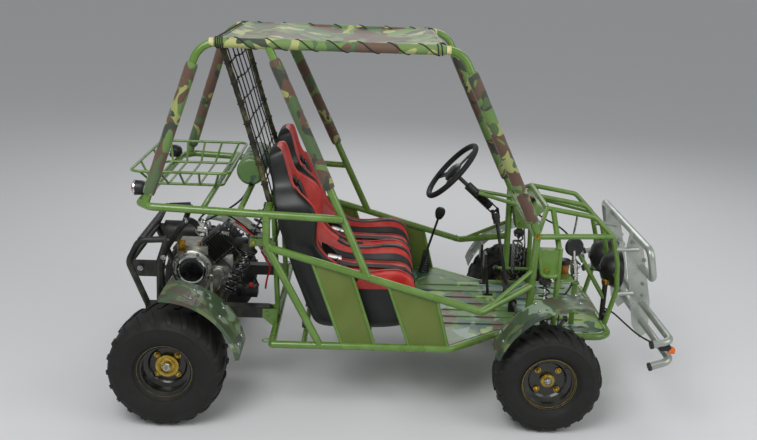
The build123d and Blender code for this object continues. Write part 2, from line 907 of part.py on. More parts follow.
# Rear axle: the shaft, a hub at each end, the sprocket and the brake disc
rear_cap_r = 48
axle_nut_r = 19
with BuildPart() as rear_axle:
    disc((0, 0, rear_tyre_r), (0, 1, 0), axle_r, 2 * (-rear_face_y + 4))
    for side in (-1, 1):
        hub_face = side * -rear_face_y
        back = hub_face - side * (rim_wall + clearance)
        disc((0, back - side * 5, rear_tyre_r), (0, 1, 0), rim_flat_r - 1, 10)
        disc((0, back - side * 35, rear_tyre_r), (0, 1, 0), rim_bore, 60)
        disc((0, hub_face, rear_tyre_r), (0, 1, 0), rim_bore - 1, 16)
        disc((0, hub_face + side * 10, rear_tyre_r), (0, 1, 0), rear_cap_r, 19)
        disc((0, hub_face + side * 26, rear_tyre_r), (0, 1, 0), axle_nut_r, 14)
        for index in range(4):
            angle = radians(45 + 90 * index)
            disc(
                (
                    bolt_circle_r * cos(angle),
                    hub_face + side * 2,
                    rear_tyre_r + bolt_circle_r * sin(angle),
                ),
                (0, 1, 0),
                bolt_r,
                24,
            )
    disc((0, -60, rear_tyre_r), (0, 1, 0), 92, 6)
    disc((0, 90, rear_tyre_r), (0, 1, 0), 88, 5)
    for y in (-60, 90):
        disc((0, y, rear_tyre_r), (0, 1, 0), 30, 30)
finish(rear_axle, "rear_axle")


def arc_band(middle, outer, inner, start, stop, y, wall):
    """A sheet between two arcs in the side view, from y outwards to the right."""
    centre = (middle[0] - mid_x, middle[1])
    with BuildSketch(Plane.XZ.offset(y)) as section:
        with BuildLine():
            big = CenterArc(centre, outer, start, stop - start)
            small = CenterArc(centre, inner, start, stop - start)
            Line(big @ 0, small @ 0)
            Line(big @ 1, small @ 1)
        make_face()
    extrude(section.sketch, amount=wall)


# Fenders: a rolled sheet over the wheel with a turned lip on its outer edge.
# The angles run from straight ahead over the wheel's top.
fender_t = 3
rear_fender = {"middle": (0, 262), "r": 314, "start": 10, "stop": 92, "inner": 440, "outer": 650, "lip": 16}
front_fender = {
    "middle": (front_x + 100, 232),
    "r": 350,
    "start": 82,
    "stop": 161,
    "inner": 490,
    "outer": 640,
    "lip": 14,
}


def fender(row):
    middle, radius, start, stop = row["middle"], row["r"], row["start"], row["stop"]
    width = row["outer"] - row["inner"]
    arc_band(middle, radius, radius - fender_t, start, stop, row["inner"], width)
    arc_band(middle, radius, radius - row["lip"], start, stop, row["outer"] - fender_t, fender_t)


stay_r = 6
with BuildPart() as rear_fenders:
    fender(rear_fender)
    rod((140, -pivot_y - 10, pivot_z + 20), (140, -pivot_y - 10, 532), stay_r)
    rod((140, -pivot_y - 16, 530), (140, -446, 530), stay_r)
    block((132, -470, 521), (148, -436, 538))
    cut_away(swing_arm)
    mirror(about=Plane.XZ)
finish(rear_fenders, "rear_fenders")

# Front suspension: a lower and an upper arm each side, and the knuckle on the
# kingpin between their outer ends
kingpin_y = 440
lower_ball_z = 150
kingpin_r = 6
upper_ball_z = 318
lower_pin_y = 190
lower_pin_z = 283
lower_span = 90
arm_r = 10
boss_r = 14
ball_h = 18
upright_gap = 22

with BuildPart() as front_arms:
    for side in (-1, 1):
        outer_low = (front_x, side * kingpin_y, lower_ball_z)
        outer_high = (front_x, side * kingpin_y, upper_ball_z)
        for end in (-1, 1):
            pin_low = (front_x + end * lower_span, side * lower_pin_y, lower_pin_z)
            pin_high = (front_x + end * arm_span, side * arm_pin_y, arm_pin_z)
            rod(pin_low, outer_low, arm_r)
            rod(pin_high, outer_high, arm_r - 2)
            disc(pin_low, (1, 0, 0), boss_r, 36)
            disc(pin_high, (1, 0, 0), boss_r, 16)
        disc(outer_low, (0, 0, 1), boss_r, ball_h)
        disc(outer_high, (0, 0, 1), boss_r - 1, ball_h)
        shock_foot = between(outer_low, (front_x, side * lower_pin_y, lower_pin_z), 0.24)
        block(
            (front_x - 40, shock_foot[1] - 9, shock_foot[2] - 8),
            (front_x + 40, shock_foot[1] + 9, shock_foot[2] + 8),
        )
        disc((front_x, shock_foot[1], shock_foot[2] + 26), (0, 1, 0), 8, 48)
        for ear_side in (-1, 1):
            block(
                (front_x - 12, shock_foot[1] + ear_side * 16, shock_foot[2] - 4),
                (front_x + 12, shock_foot[1] + ear_side * 21, shock_foot[2] + 36),
            )
        block(
            (front_x - 12, shock_foot[1] - 21, shock_foot[2] - 6),
            (front_x + 12, shock_foot[1] + 21, shock_foot[2] + 4),
        )
        for end in (-1, 1):
            pin_high = (front_x + end * arm_span, side * arm_pin_y, arm_pin_z)
            disc(pin_high, (1, 0, 0), arm_pin_r + clearance, 60, 0, Mode.SUBTRACT)
        # Room for the kingpin and for the upright that turns on it
        middle_z = (lower_ball_z + upper_ball_z) / 2
        span_z = upper_ball_z - lower_ball_z
        kingpin = (front_x, side * kingpin_y, middle_z)
        disc(kingpin, (0, 0, 1), kingpin_r + 0.05, span_z + 60, 0, Mode.SUBTRACT)
        disc(kingpin, (0, 0, 1), boss_r + 2, span_z - 2 * upright_gap + 1, 0, Mode.SUBTRACT)
    cut_away(lower_frame)
finish(front_arms, "front_arms")

with BuildPart() as front_shocks:
    for side in (-1, 1):
        foot_y = kingpin_y + 0.24 * (lower_pin_y - kingpin_y)
        foot_z = lower_ball_z + 0.24 * (lower_pin_z - lower_ball_z) + 26
        coil_over((front_x, side * foot_y, foot_z), (front_x, side * tower_y, tower_z), 26, 11, 9)
    cut_away(front_arms, front_frame)
finish(front_shocks, "front_shocks")

knuckle_r = 13
toe_in = 16
steer_arm_r = 5
tie_z = 338
stub_r = 10
stay_x = front_x + 52
with BuildPart() as knuckle:
    low = lower_ball_z + upright_gap
    high = upper_ball_z - upright_gap
    rod((front_x, -kingpin_y, low), (front_x, -kingpin_y, high), knuckle_r)
    rod(
        (front_x, -kingpin_y, lower_ball_z - ball_h / 2 - 4),
        (front_x, -kingpin_y, upper_ball_z + ball_h / 2 + 4),
        kingpin_r,
    )
    rod((front_x, -kingpin_y, front_tyre_r), (front_x, front_face_y - 8, front_tyre_r), stub_r)
    arm_end = (rack_x, -kingpin_y + toe_in, high - 6)
    rod(arm_end, (front_x, -kingpin_y, high - 6), steer_arm_r)
    disc(arm_end, (0, 0, 1), 11, 8)
    rod(arm_end, (arm_end[0], arm_end[1], tie_z - 13), 4)
    block(
        (front_x, -kingpin_y - 3, 256),
        (stay_x + 3, -kingpin_y + 3, 268),
    )
finish_pair(knuckle, "knuckle")

with BuildPart() as front_hub:
    back = front_face_y + rim_wall + clearance
    rod((front_x, back, front_tyre_r), (front_x, back + 9, front_tyre_r), rim_flat_r - 1)
    rod((front_x, back + 55, front_tyre_r), (front_x, front_face_y - 16, front_tyre_r), rim_bore - 1)
    for index in range(4):
        angle = radians(45 + 90 * index)
        bolt_x = front_x + bolt_circle_r * cos(angle)
        bolt_z = front_tyre_r + bolt_circle_r * sin(angle)
        rod((bolt_x, back, bolt_z), (bolt_x, front_face_y - 12, bolt_z), bolt_r)
    disc((front_x, front_face_y + 30, front_tyre_r), (0, 1, 0), stub_r + 0.05, 76, 0, Mode.SUBTRACT)
finish_pair(front_hub, "front_hub")

# Front fenders turn with the wheels, on a stay from the knuckle
stay_y = -kingpin_y - 1
stay_reach = stay_x - front_fender["middle"][0]
stay_top = front_fender["middle"][1] + sqrt(front_fender["r"] ** 2 - stay_reach**2) - fender_t / 2
with BuildPart() as front_fender_part:
    fender(front_fender)
    tube(
        [
            (stay_x, stay_y, 268),
            (stay_x, stay_y, 495),
            (stay_x, -front_fender["inner"] - 12, stay_top - 12),
            (stay_x, -front_fender["inner"] - 30, stay_top),
        ],
        4,
        12,
    )
finish_pair(front_fender_part, "front_fender")

# Steering: wheel and shaft, the column's clamp, the rack's housing and the
# sliding rack with its two tie rods
grip_r = 13
wheel_r = 158
spoke_count = 3

shaft_run = at(*joint_place) - at(*wheel_centre)
wheel_plane = Plane(origin=at(*wheel_centre), x_dir=(0, 1, 0), z_dir=shaft_run * -1)

with BuildPart() as steering_wheel:
    with BuildSketch(Plane(origin=wheel_plane.from_local_coords((wheel_r, 0, 0)), x_dir=wheel_plane.x_dir,
                           z_dir=wheel_plane.y_dir)) as grip:
        Circle(grip_r)
    revolve(grip.sketch, axis=Axis(wheel_plane.origin, wheel_plane.z_dir))
    for index in range(spoke_count):
        angle = radians(90 + 360 / spoke_count * index)
        tip = wheel_plane.from_local_coords((wheel_r * cos(angle), wheel_r * sin(angle), 0))
        root = wheel_plane.from_local_coords((0, 0, -30))
        with BuildSketch(Plane(origin=root, z_dir=tip - root)) as spoke:
            Circle(9)
        extrude(spoke.sketch, amount=(tip - root).length)
    with BuildSketch(wheel_plane.offset(-42)) as boss:
        Circle(34)
    extrude(boss.sketch, amount=34)
    with BuildSketch(wheel_plane.offset(-shaft_run.length + 14)) as shaft:
        Circle(shaft_r)
    extrude(shaft.sketch, amount=shaft_run.length - 50)
    with BuildSketch(wheel_plane.offset(-shaft_run.length + 12)) as yoke:
        Circle(19)
    extrude(yoke.sketch, amount=26)
finish(steering_wheel, "steering_wheel")

pinion_y = 110
housing_r = 18
housing_half = 125
rack_r_bar = 8
rack_half = 178
tie_rod_r = 6
tie_end_r = 11
tie_y = kingpin_y - toe_in

with BuildPart() as steering_column:
    rod(sleeve_low, sleeve_high, sleeve_r)
    lower_joint = (rack_x, pinion_y, rack_z + 16)
    start = between(joint_place, lower_joint, 0.03)
    rod(start, lower_joint, 8)
    rod(start, between(joint_place, lower_joint, 0.12), 18)
    rod(between(joint_place, lower_joint, 0.84), between(joint_place, lower_joint, 0.97), 18)
    rod((rack_x, -housing_half, rack_z), (rack_x, housing_half, rack_z), housing_r)
    for y in (-85, 85):
        block((rack_x - 14, y - 10, pan_z + sheet), (rack_x + 14, y + 10, rack_z))
    disc(
        between(wheel_centre, joint_place, (clamp_low + clamp_high) / 2),
        tuple(shaft_run),
        shaft_r + 0.05,
        200,
        0,
        Mode.SUBTRACT,
    )
    disc((rack_x, 0, rack_z), (0, 1, 0), rack_r_bar + 0.05, 400, 0, Mode.SUBTRACT)
    cut_away(front_frame, floor_pan)
finish(steering_column, "steering_column")

with BuildPart() as tie_rods:
    rod((rack_x, -rack_half, rack_z), (rack_x, rack_half, rack_z), rack_r_bar)
    for side in (-1, 1):
        rod((rack_x, side * (rack_half - 4), rack_z), (rack_x, side * tie_y, tie_z), tie_rod_r)
        disc((rack_x, side * tie_y, tie_z), (0, 0, 1), tie_end_r, 12)
finish(tie_rods, "tie_rods")

# Pedals and gear lever
with BuildPart() as pedals:
    for y in (column_y - 70, column_y + 80):
        rod((front_x - 170, y, pan_z + sheet), (front_x - 190, y, 480), 7)
        block((front_x - 202, y - 28, 470), (front_x - 190, y + 28, 545))
        block((front_x - 195, y - 20, pan_z + sheet), (front_x - 150, y + 20, pan_z + sheet + 8))
    cut_away(floor_pan)
finish(pedals, "pedals")

lever_foot = (front_x - 470, 420, pan_z + sheet)
lever_knob = (front_x - 402, 416, 648)
with BuildPart() as gear_lever:
    side_plate(
        [
            (lever_foot[0] - 26, lever_foot[2]),
            (lever_foot[0] + 30, lever_foot[2]),
            (lever_foot[0] + 22, 452),
            (lever_foot[0] - 4, 452),
        ],
        lever_foot[1],
        6,
    )
    rod((lever_foot[0] + 8, lever_foot[1], 430), lever_knob, 6)
    with Locations(at(*lever_knob)):
        Sphere(19)
    cut_away(floor_pan)
finish(gear_lever, "gear_lever")

# Seats: a bucket with a raised bolster each side, a narrow head and four legs
seat_y = 205
seat_w = 400
bolster_w = 76
head_w = 230
seat_floor_z = 352
seat_legs = [(seat_cross[0], 120), (seat_cross[1], 120)]
back_line = [(590, seat_floor_z), (496, 667), (416, 930)]
bolster_line = [
    (1010, seat_floor_z),
    (1035, 440),
    (1035, 535),
    (985, 640),
    (800, 628),
    (665, 672),
    (612, 745),
    (600, 850),
    (545, 955),
    (470, 985),
]
centre_line = [
    (1010, seat_floor_z),
    (1035, 440),
    (1035, 535),
    (995, 572),
    (640, 590),
    (556, 730),
    (492, 960),
]
head_line = [(416, 930), (388, 1090), (402, 1118), (430, 1120), (462, 1040), (500, 930)]

with BuildPart() as seat:
    side_plate(back_line + list(reversed(centre_line)), -seat_y, seat_w - 2 * bolster_w)
    side_plate(head_line, -seat_y, head_w)
    for end in (-1, 1):
        bolster_y = -seat_y + end * (seat_w - bolster_w) / 2
        side_plate(back_line + list(reversed(bolster_line)), bolster_y, bolster_w)
    for x, offset in seat_legs:
        for end in (-1, 1):
            block(
                (x - 18, -seat_y + end * offset - 14, bottom_z),
                (x + 18, -seat_y + end * offset + 14, seat_floor_z + 1),
            )
    cut_away(lower_frame)
finish_pair(seat, "seat")

# Front bumper: two plates with tubes through them and stubs to the hoops
plate_line = [
    (front_x + 395, 775),
    (front_x + 450, 745),
    (front_x + 522, 440),
    (front_x + front_reach, 292),
    (front_x + 495, 262),
    (front_x + 455, 320),
    (front_x + 385, 690),
]
plate_t = 5
plate_y = 185
bumper_runs = [
    [(470, -150, 600), (454, -390, 622), (426, -390, 752)],
    [(410, -600, 415), (488, -600, 432)],
    [(414, -600, 316), (496, -600, 345)],
]
stub_z = {480: hoop_run[4:6], 690: hoop_run[2:4]}

with BuildPart() as front_bumper:
    for side in (-1, 1):
        side_plate(plate_line, side * plate_y, plate_t)
    for row in bumper_runs:
        near = [(front_x + x, y, z) for x, y, z in row]
        tube(near + [far(point) for point in reversed(near)], bumper_r, 36)
    for z, stretch in stub_z.items():
        for run in both_sides([at_height(*stretch, z), (front_x + 440, -plate_y, z)]):
            rod(*run, 10)
    cut_away(front_frame)
finish(front_bumper, "front_bumper")

# Headlight bowls sit on the hood's cross tube, tail lamps stand on the rear rail
lamp_y = 95
lamp_r = 78
lamp_z = 575
lamp_back_x = front_x + 312
lamp_face_x = front_x + 392
with BuildPart() as headlights:
    for side in (-1, 1):
        lamp_back = (lamp_back_x, side * lamp_y, lamp_z)
        lamp_brim = (lamp_face_x - 18, side * lamp_y, lamp_z)
        bowl_run = at(*lamp_brim) - at(*lamp_back)
        with Locations(Plane(origin=(at(*lamp_back) + at(*lamp_brim)) * 0.5, z_dir=bowl_run)):
            Cone(lamp_r * 0.55, lamp_r, bowl_run.length)
        rod(lamp_brim, (lamp_face_x, side * lamp_y, lamp_z), lamp_r + 3)
    cut_away(front_frame)
finish(headlights, "headlights")

tail_y = 352
with BuildPart() as tail_lamps:
    for side in (-1, 1):
        block(
            (rail_rear_x - 52, side * tail_y - 32, rail_rear_z + frame_r - 6),
            (rail_rear_x + 12, side * tail_y + 32, rail_rear_z + frame_r + 52),
        )
    cut_away(upper_rail)
finish(tail_lamps, "tail_lamps")
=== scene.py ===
import math
import random

import bpy
from mathutils import Matrix, Vector


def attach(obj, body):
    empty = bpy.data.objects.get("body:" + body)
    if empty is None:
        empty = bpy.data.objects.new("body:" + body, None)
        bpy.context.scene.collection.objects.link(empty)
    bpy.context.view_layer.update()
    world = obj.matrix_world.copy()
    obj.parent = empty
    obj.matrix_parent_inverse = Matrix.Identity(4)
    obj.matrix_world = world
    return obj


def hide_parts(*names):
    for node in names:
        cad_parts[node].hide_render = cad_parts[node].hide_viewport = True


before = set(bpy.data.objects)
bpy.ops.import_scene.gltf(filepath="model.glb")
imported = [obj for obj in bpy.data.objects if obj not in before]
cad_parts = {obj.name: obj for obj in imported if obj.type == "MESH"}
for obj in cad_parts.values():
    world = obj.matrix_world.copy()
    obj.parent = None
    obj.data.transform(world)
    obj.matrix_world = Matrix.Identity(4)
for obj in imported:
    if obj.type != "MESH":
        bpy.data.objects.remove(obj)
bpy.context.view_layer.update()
scene = bpy.context.scene
hands = (("left", 1), ("right", -1))

# Places are in millimetres: forward from the rear axle, to the kart's left and up from the
# floor. The frame's middle lies this far in front of the rear axle.
midX = 937.5


def at(x, y, z):
    return Vector(((x - midX) / 1000, y / 1000, z / 1000))


def unselect():
    if bpy.context.object and bpy.context.object.mode != "OBJECT":
        bpy.ops.object.mode_set(mode="OBJECT")
    bpy.ops.object.select_all(action="DESELECT")


def pick(piece):
    unselect()
    piece.select_set(True)
    bpy.context.view_layer.objects.active = piece


# Stage: pale floor, three soft lamps and the photograph's camera
stageSettings = {
    "floorColour": "d6d6d7", "floorSize": 600, "floorRoughness": 0.9,
    "worldColour": "e6e8ea", "worldStrength": 0.46,
    "lens": 42.44, "sensorWidth": 36, "cameraPlace": (-0.1542, -3.9535, 1.9337),
    "yaw": 0.0213, "pitch": 0.2949, "roll": 0.0374,
    "lampsAim": (0, 0, 0.6),
    # Name, place, power and size
    "lamps": [
        ("keyLamp", (-1.6, -3.2, 4.2), 138, 2.6),
        ("fillLamp", (3.4, -2.4, 2.6), 60, 3.0),
        ("rimLamp", (0.6, 3.6, 3.6), 60, 3.0),
    ],
}


def linear(code):
    parts = [int(code[i:i + 2], 16) / 255 for i in (0, 2, 4)]
    return [c / 12.92 if c <= 0.04045 else ((c + 0.055) / 1.055) ** 2.4 for c in parts] + [1]


def addNode(tree, kind, settings=None, links=None):
    node = tree.nodes.new("ShaderNode" + kind)
    for name, value in (settings or {}).items():
        if isinstance(name, str) and hasattr(node, name):
            setattr(node, name, value)
        else:
            node.inputs[name].default_value = value
    for name, source in (links or {}).items():
        tree.links.new(source, node.inputs[name])
    return node


def aimCamera():
    s = stageSettings
    yaw, pitch, roll = s["yaw"], s["pitch"], s["roll"]
    ahead = Vector((math.sin(yaw) * math.cos(pitch), math.cos(yaw) * math.cos(pitch), -math.sin(pitch)))
    right = Vector((math.cos(yaw), -math.sin(yaw), 0))
    up = right.cross(ahead)
    turnedRight = right * math.cos(roll) + up * math.sin(roll)
    turnedUp = up * math.cos(roll) - right * math.sin(roll)
    bpy.ops.object.camera_add(location=s["cameraPlace"])
    camera = bpy.context.object
    camera.name = "photoCamera"
    camera.data.lens, camera.data.sensor_width = s["lens"], s["sensorWidth"]
    camera.matrix_world = Matrix.Translation(s["cameraPlace"]) @ Matrix(
        (turnedRight, turnedUp, -ahead)).transposed().to_4x4()
    scene.camera = camera


def buildStage():
    s = stageSettings
    unselect()
    bpy.ops.mesh.primitive_plane_add(size=s["floorSize"], location=(0, 0, 0))
    floor = bpy.context.object
    floor.name = "studioFloor"
    paper = bpy.data.materials.new("matteBackdropPaper")
    paper.use_nodes = True
    # Matte paper: an even pale ground without a mirror image
    sockets = paper.node_tree.nodes["Principled BSDF"].inputs
    sockets["Base Color"].default_value = linear(s["floorColour"])
    sockets["Roughness"].default_value = s["floorRoughness"]
    floor.data.materials.append(paper)
    world = bpy.data.worlds.new("studioSky")
    world.use_nodes = True
    sky = world.node_tree.nodes["Background"]
    sky.inputs["Color"].default_value = linear(s["worldColour"])
    sky.inputs["Strength"].default_value = s["worldStrength"]
    scene.world = world
    for name, place, power, size in s["lamps"]:
        bpy.ops.object.light_add(type="AREA", location=place)
        lamp = bpy.context.object
        lamp.name = name
        lamp.data.energy, lamp.data.size = power, size
        aim = Vector(s["lampsAim"]) - Vector(place)
        lamp.rotation_euler = aim.to_track_quat("-Z", "Y").to_euler()
    scene.view_settings.view_transform = "Standard"


aimCamera()
buildStage()
print("stage ready")

# Materials. Sizes of patterns are in millimetres.


def coordinates(tree, shift=0):
    where = addNode(tree, "TexCoord").outputs["Object"]
    place = {"Location": (shift, shift * 1.7, shift * 0.6)}
    return addNode(tree, "Mapping", place, {"Vector": where}).outputs[0]


def noise(tree, where, size, detail=3, distortion=0):
    return addNode(tree, "TexNoise", {"Scale": 1000 / size, "Detail": detail, "Distortion": distortion},
                   {"Vector": where}).outputs["Fac"]


def ramp(tree, source, stops, interpolation="LINEAR"):
    node = addNode(tree, "ValToRGB", links={"Fac": source})
    band = node.color_ramp
    band.interpolation = interpolation
    while len(band.elements) < len(stops):
        band.elements.new(0.5)
    for element, (place, value) in zip(band.elements, stops):
        element.position = place
        element.color = linear(value) if isinstance(value, str) else (value, value, value, 1)
    return node.outputs["Color"]


def mixed(tree, share, first, second):
    node = addNode(tree, "Mix", {"data_type": "RGBA"})
    for socket, value in ((node.inputs[0], share), (node.inputs[6], first), (node.inputs[7], second)):
        if isinstance(value, str):
            socket.default_value = linear(value)
        elif isinstance(value, (int, float)):
            socket.default_value = value
        else:
            tree.links.new(value, socket)
    return node.outputs[2]


def startMaterial(name, sockets):
    made = bpy.data.materials.new(name)
    made.use_nodes = True
    shader = made.node_tree.nodes["Principled BSDF"]
    for key, value in sockets.items():
        shader.inputs[key].default_value = value
    return made, made.node_tree, shader


def addBump(tree, shader, height, depth):
    node = addNode(tree, "Bump", {"Distance": depth / 1000, "Strength": 1}, {"Height": height})
    tree.links.new(node.outputs[0], shader.inputs["Normal"])


def finishOf(name, colour, worn, blotch, grit, depth, rough, **sockets):
    # One ground colour, a second colour in soft blotches, and a fine relief; the second colour is wear and dust
    # on most finishes, a painted highlight on the red vinyl and a painted reflection on the rims
    made, tree, shader = startMaterial(name, {"Roughness": sum(rough) / 2, **sockets})
    where = coordinates(tree)
    cloud = noise(tree, where, blotch, 5, 0.4)
    tree.links.new(mixed(tree, ramp(tree, cloud, [(0.42, 0.0), (0.72, 1.0)]), colour, worn),
                   shader.inputs["Base Color"])
    tree.links.new(ramp(tree, cloud, [(0.3, rough[0]), (0.7, rough[1])]), shader.inputs["Roughness"])
    addBump(tree, shader, noise(tree, where, grit, 2), depth)
    return made


def camoOf(name, base, patches, patch, weave, depth, rough, **sockets):
    # Four printed colours in hard-edged patches over the ground colour
    made, tree, shader = startMaterial(name, {"Roughness": rough, **sockets})
    colour = base
    for index, (code, level) in enumerate(patches):
        blob = noise(tree, coordinates(tree, 0.37 * (index + 1)), patch, 1.5, 0.9)
        colour = mixed(tree, ramp(tree, blob, [(0, 0.0), (level, 1.0)], "CONSTANT"), colour, code)
    dust = ramp(tree, noise(tree, coordinates(tree, 3), patch * 2, 4), [(0.35, 0.0), (0.75, 0.14)])
    tree.links.new(mixed(tree, dust, colour, "8a8f74"), shader.inputs["Base Color"])
    if weave:
        where = coordinates(tree)
        threads = [addNode(tree, "TexWave", {"bands_direction": axis, "Scale": 1000 / weave / 20 * 6.283,
                                             "Distortion": 0.4}, {"Vector": where}).outputs["Fac"]
                   for axis in ("X", "Y")]
        height = addNode(tree, "Math", {"operation": "ADD"}, {0: threads[0], 1: threads[1]}).outputs[0]
        addBump(tree, shader, height, depth)
    else:
        addBump(tree, shader, noise(tree, coordinates(tree), 4, 3), depth)
    return made


finishes = {
    # Gloss enamel on steel tube: bright sky streaks, faint dust in soft patches
    "glossEnamelGreen": dict(colour="587a2c", worn="688a3f", blotch=90, grit=3, depth=0.02, rough=(0.22, 0.36),
                             **{"Coat Weight": 0.35, "Coat Roughness": 0.08}),
    # Satin enamel on sheet: flat olive with a slight orange peel
    "satinEnamelOlive": dict(colour="5a6a26", worn="647432", blotch=140, grit=2, depth=0.02,
                             rough=(0.42, 0.52)),
    # Powder coat on the arms and the guard: deep black with dust
    "powderCoatBlack": dict(colour="131412", worn="35342c", blotch=60, grit=1.2, depth=0.04,
                            rough=(0.34, 0.55)),
    # Gloss enamel on spring wire: thin bright lines along each coil
    "springEnamelBlack": dict(colour="0c0c0d", worn="1b1b1a", blotch=40, grit=2, depth=0.01, rough=(0.2, 0.3),
                              **{"Coat Weight": 0.5}),
    # Moulded tyre rubber: grey-green dust on black, very matte
    "mouldedRubber": dict(colour="0a0b08", worn="151610", blotch=70, grit=1.5, depth=0.12, rough=(0.62, 0.86)),
    # Extruded rubber: dull black with a soft sheen on the bends
    "hoseRubber": dict(colour="0d0e0d", worn="22221f", blotch=30, grit=1.5, depth=0.05, rough=(0.4, 0.6)),
    # Cast aluminium: sand-cast grain, dull with brighter rubbed patches
    "sandCastAluminium": dict(colour="a7a79f", worn="cfcfc8", blotch=45, grit=1.6, depth=0.15, rough=(0.3, 0.5),
                              Metallic=1.0),
    # Machined aluminium: bright and smooth beside the casting
    "machinedAluminium": dict(colour="d5d6d2", worn="bdbdb6", blotch=20, grit=1, depth=0.02, rough=(0.16, 0.3),
                              Metallic=1.0),
    # Yellow chromate on zinc: gold with greenish and rosy clouds
    "yellowZincPlate": dict(colour="a98a35", worn="c7b765", blotch=18, grit=1, depth=0.02, rough=(0.25, 0.42),
                            Metallic=1.0),
    # Bright zinc on fasteners: cool grey with duller spots
    "brightZincPlate": dict(colour="b9bbbb", worn="8e908e", blotch=12, grit=1, depth=0.02, rough=(0.2, 0.38),
                            Metallic=1.0),
    # Chrome on steel: a near mirror
    "chromePlate": dict(colour="dfe1e2", worn="c8cacb", blotch=60, grit=4, depth=0.004, rough=(0.05, 0.1),
                        Metallic=1.0),
    # Enamel on pressed rims: black, with brown blotches at random: a painted reflection of the olive-brown seen
    # in the dish
    "rimEnamelBlack": dict(colour="12130f", worn="2a2a21", blotch=50, grit=2, depth=0.02, rough=(0.2, 0.42),
                           **{"Coat Weight": 0.4}),
    # Silver metallic enamel with a cold green cast
    "silverEnamel": dict(colour="a9afa7", worn="939a91", blotch=110, grit=1.5, depth=0.015, rough=(0.26, 0.38),
                         Metallic=0.55, **{"Coat Weight": 0.5}),
    # Vinyl over foam: leather-like grain and a low sheen
    "grainedVinylBlack": dict(colour="0f1210", worn="1e221e", blotch=80, grit=2.2, depth=0.18,
                              rough=(0.36, 0.5)),
    # The same vinyl in red, with paler red blotches: a painted highlight for the sheen on the crowns
    "grainedVinylRed": dict(colour="b3261f", worn="cc4a3d", blotch=70, grit=2.2, depth=0.15,
                            rough=(0.38, 0.55)),
    # Moulded ABS: satin black with a fine spark-eroded grain
    "mouldedPlasticBlack": dict(colour="121313", worn="1f2020", blotch=40, grit=1.5, depth=0.05,
                                rough=(0.35, 0.5)),
    # Foam grip: matte, open-pored black
    "foamGripBlack": dict(colour="111111", worn="1d1d1c", blotch=25, grit=1.2, depth=0.15, rough=(0.62, 0.8)),
    # Braided nylon: matte black with dusty strands
    "nylonCordBlack": dict(colour="12120d", worn="2e2c1e", blotch=14, grit=1.5, depth=0.2, rough=(0.6, 0.8)),
    # Webbing rolled into bands: black with faded olive mottles
    "mottledWebbing": dict(colour="16150d", worn="5d5a35", blotch=34, grit=1.5, depth=0.25, rough=(0.65, 0.85)),
    # Moulded red plastic: even colour with a soft highlight
    "redPlastic": dict(colour="b3170f", worn="8e130d", blotch=20, grit=2, depth=0.02, rough=(0.3, 0.4)),
    # Translucent polyethylene: amber that glows where light comes through
    "amberPlastic": dict(colour="a8611a", worn="c9882f", blotch=15, grit=2, depth=0.01, rough=(0.15, 0.22),
                         **{"Transmission Weight": 0.4}),
    # Lens acrylic in orange, red and clear: glossy, with light let through
    "orangeLens": dict(colour="f06a12", worn="ff8a30", blotch=10, grit=2, depth=0.02, rough=(0.1, 0.15),
                       **{"Transmission Weight": 0.3}),
    "redLens": dict(colour="a8140f", worn="c42a20", blotch=12, grit=2, depth=0.02, rough=(0.08, 0.14),
                    **{"Transmission Weight": 0.3}),
    "clearLens": dict(colour="f4f7f7", worn="e6ecec", blotch=30, grit=6, depth=0.05, rough=(0.03, 0.06),
                      **{"Transmission Weight": 0.9}),
    # Brass with brown tarnish
    "brassFitting": dict(colour="b48a3c", worn="8a6a2e", blotch=15, grit=1.5, depth=0.05, rough=(0.25, 0.4),
                         Metallic=1.0),
    # Cloth tape: pale and matte
    "paleTape": dict(colour="b9b27a", worn="d3cd9c", blotch=15, grit=1.5, depth=0.08, rough=(0.6, 0.7)),
}
finish = {name: finishOf(name, **row) for name, row in finishes.items()}

# Printed colours: ground, then each patch with the level of noise above which it shows
camos = {
    # Camouflage film on sheet metal: smooth, hard-edged patches under a thin gloss
    "camoFilm": dict(base="587a42", patch=150, weave=0, depth=0.02, rough=0.36, **{"Coat Weight": 0.2},
                     patches=[("3b5a4a", 0.53), ("8ea85c", 0.6), ("5e5140", 0.6), ("7f968a", 0.62)]),
    # The same film on the fenders, in darker and duller colours
    "camoFilmDark": dict(base="3a5036", patch=120, weave=0, depth=0.02, rough=0.4, **{"Coat Weight": 0.12},
                         patches=[("5d6b46", 0.52), ("7f957c", 0.6), ("4b4236", 0.56), ("24352c", 0.6)]),
    # Printed nylon on the canopy: matte, with a weave drawn coarser than real so that it shows
    "camoNylon": dict(base="64813f", patch=170, weave=3, depth=0.12, rough=0.7, **{"Sheen Weight": 0.25},
                      patches=[("5d4334", 0.52), ("a5aa68", 0.6), ("2b3226", 0.64), ("44643a", 0.6)]),
    # The same nylon on the foam sleeves, in a browner print
    "camoSleeve": dict(base="563c2e", patch=115, weave=3, depth=0.12, rough=0.72, **{"Sheen Weight": 0.25},
                       patches=[("5b7a3a", 0.53), ("8f9656", 0.59), ("2a3126", 0.58), ("435a33", 0.58)]),
}
finish.update({name: camoOf(name, **row) for name, row in camos.items()})
print("materials ready")

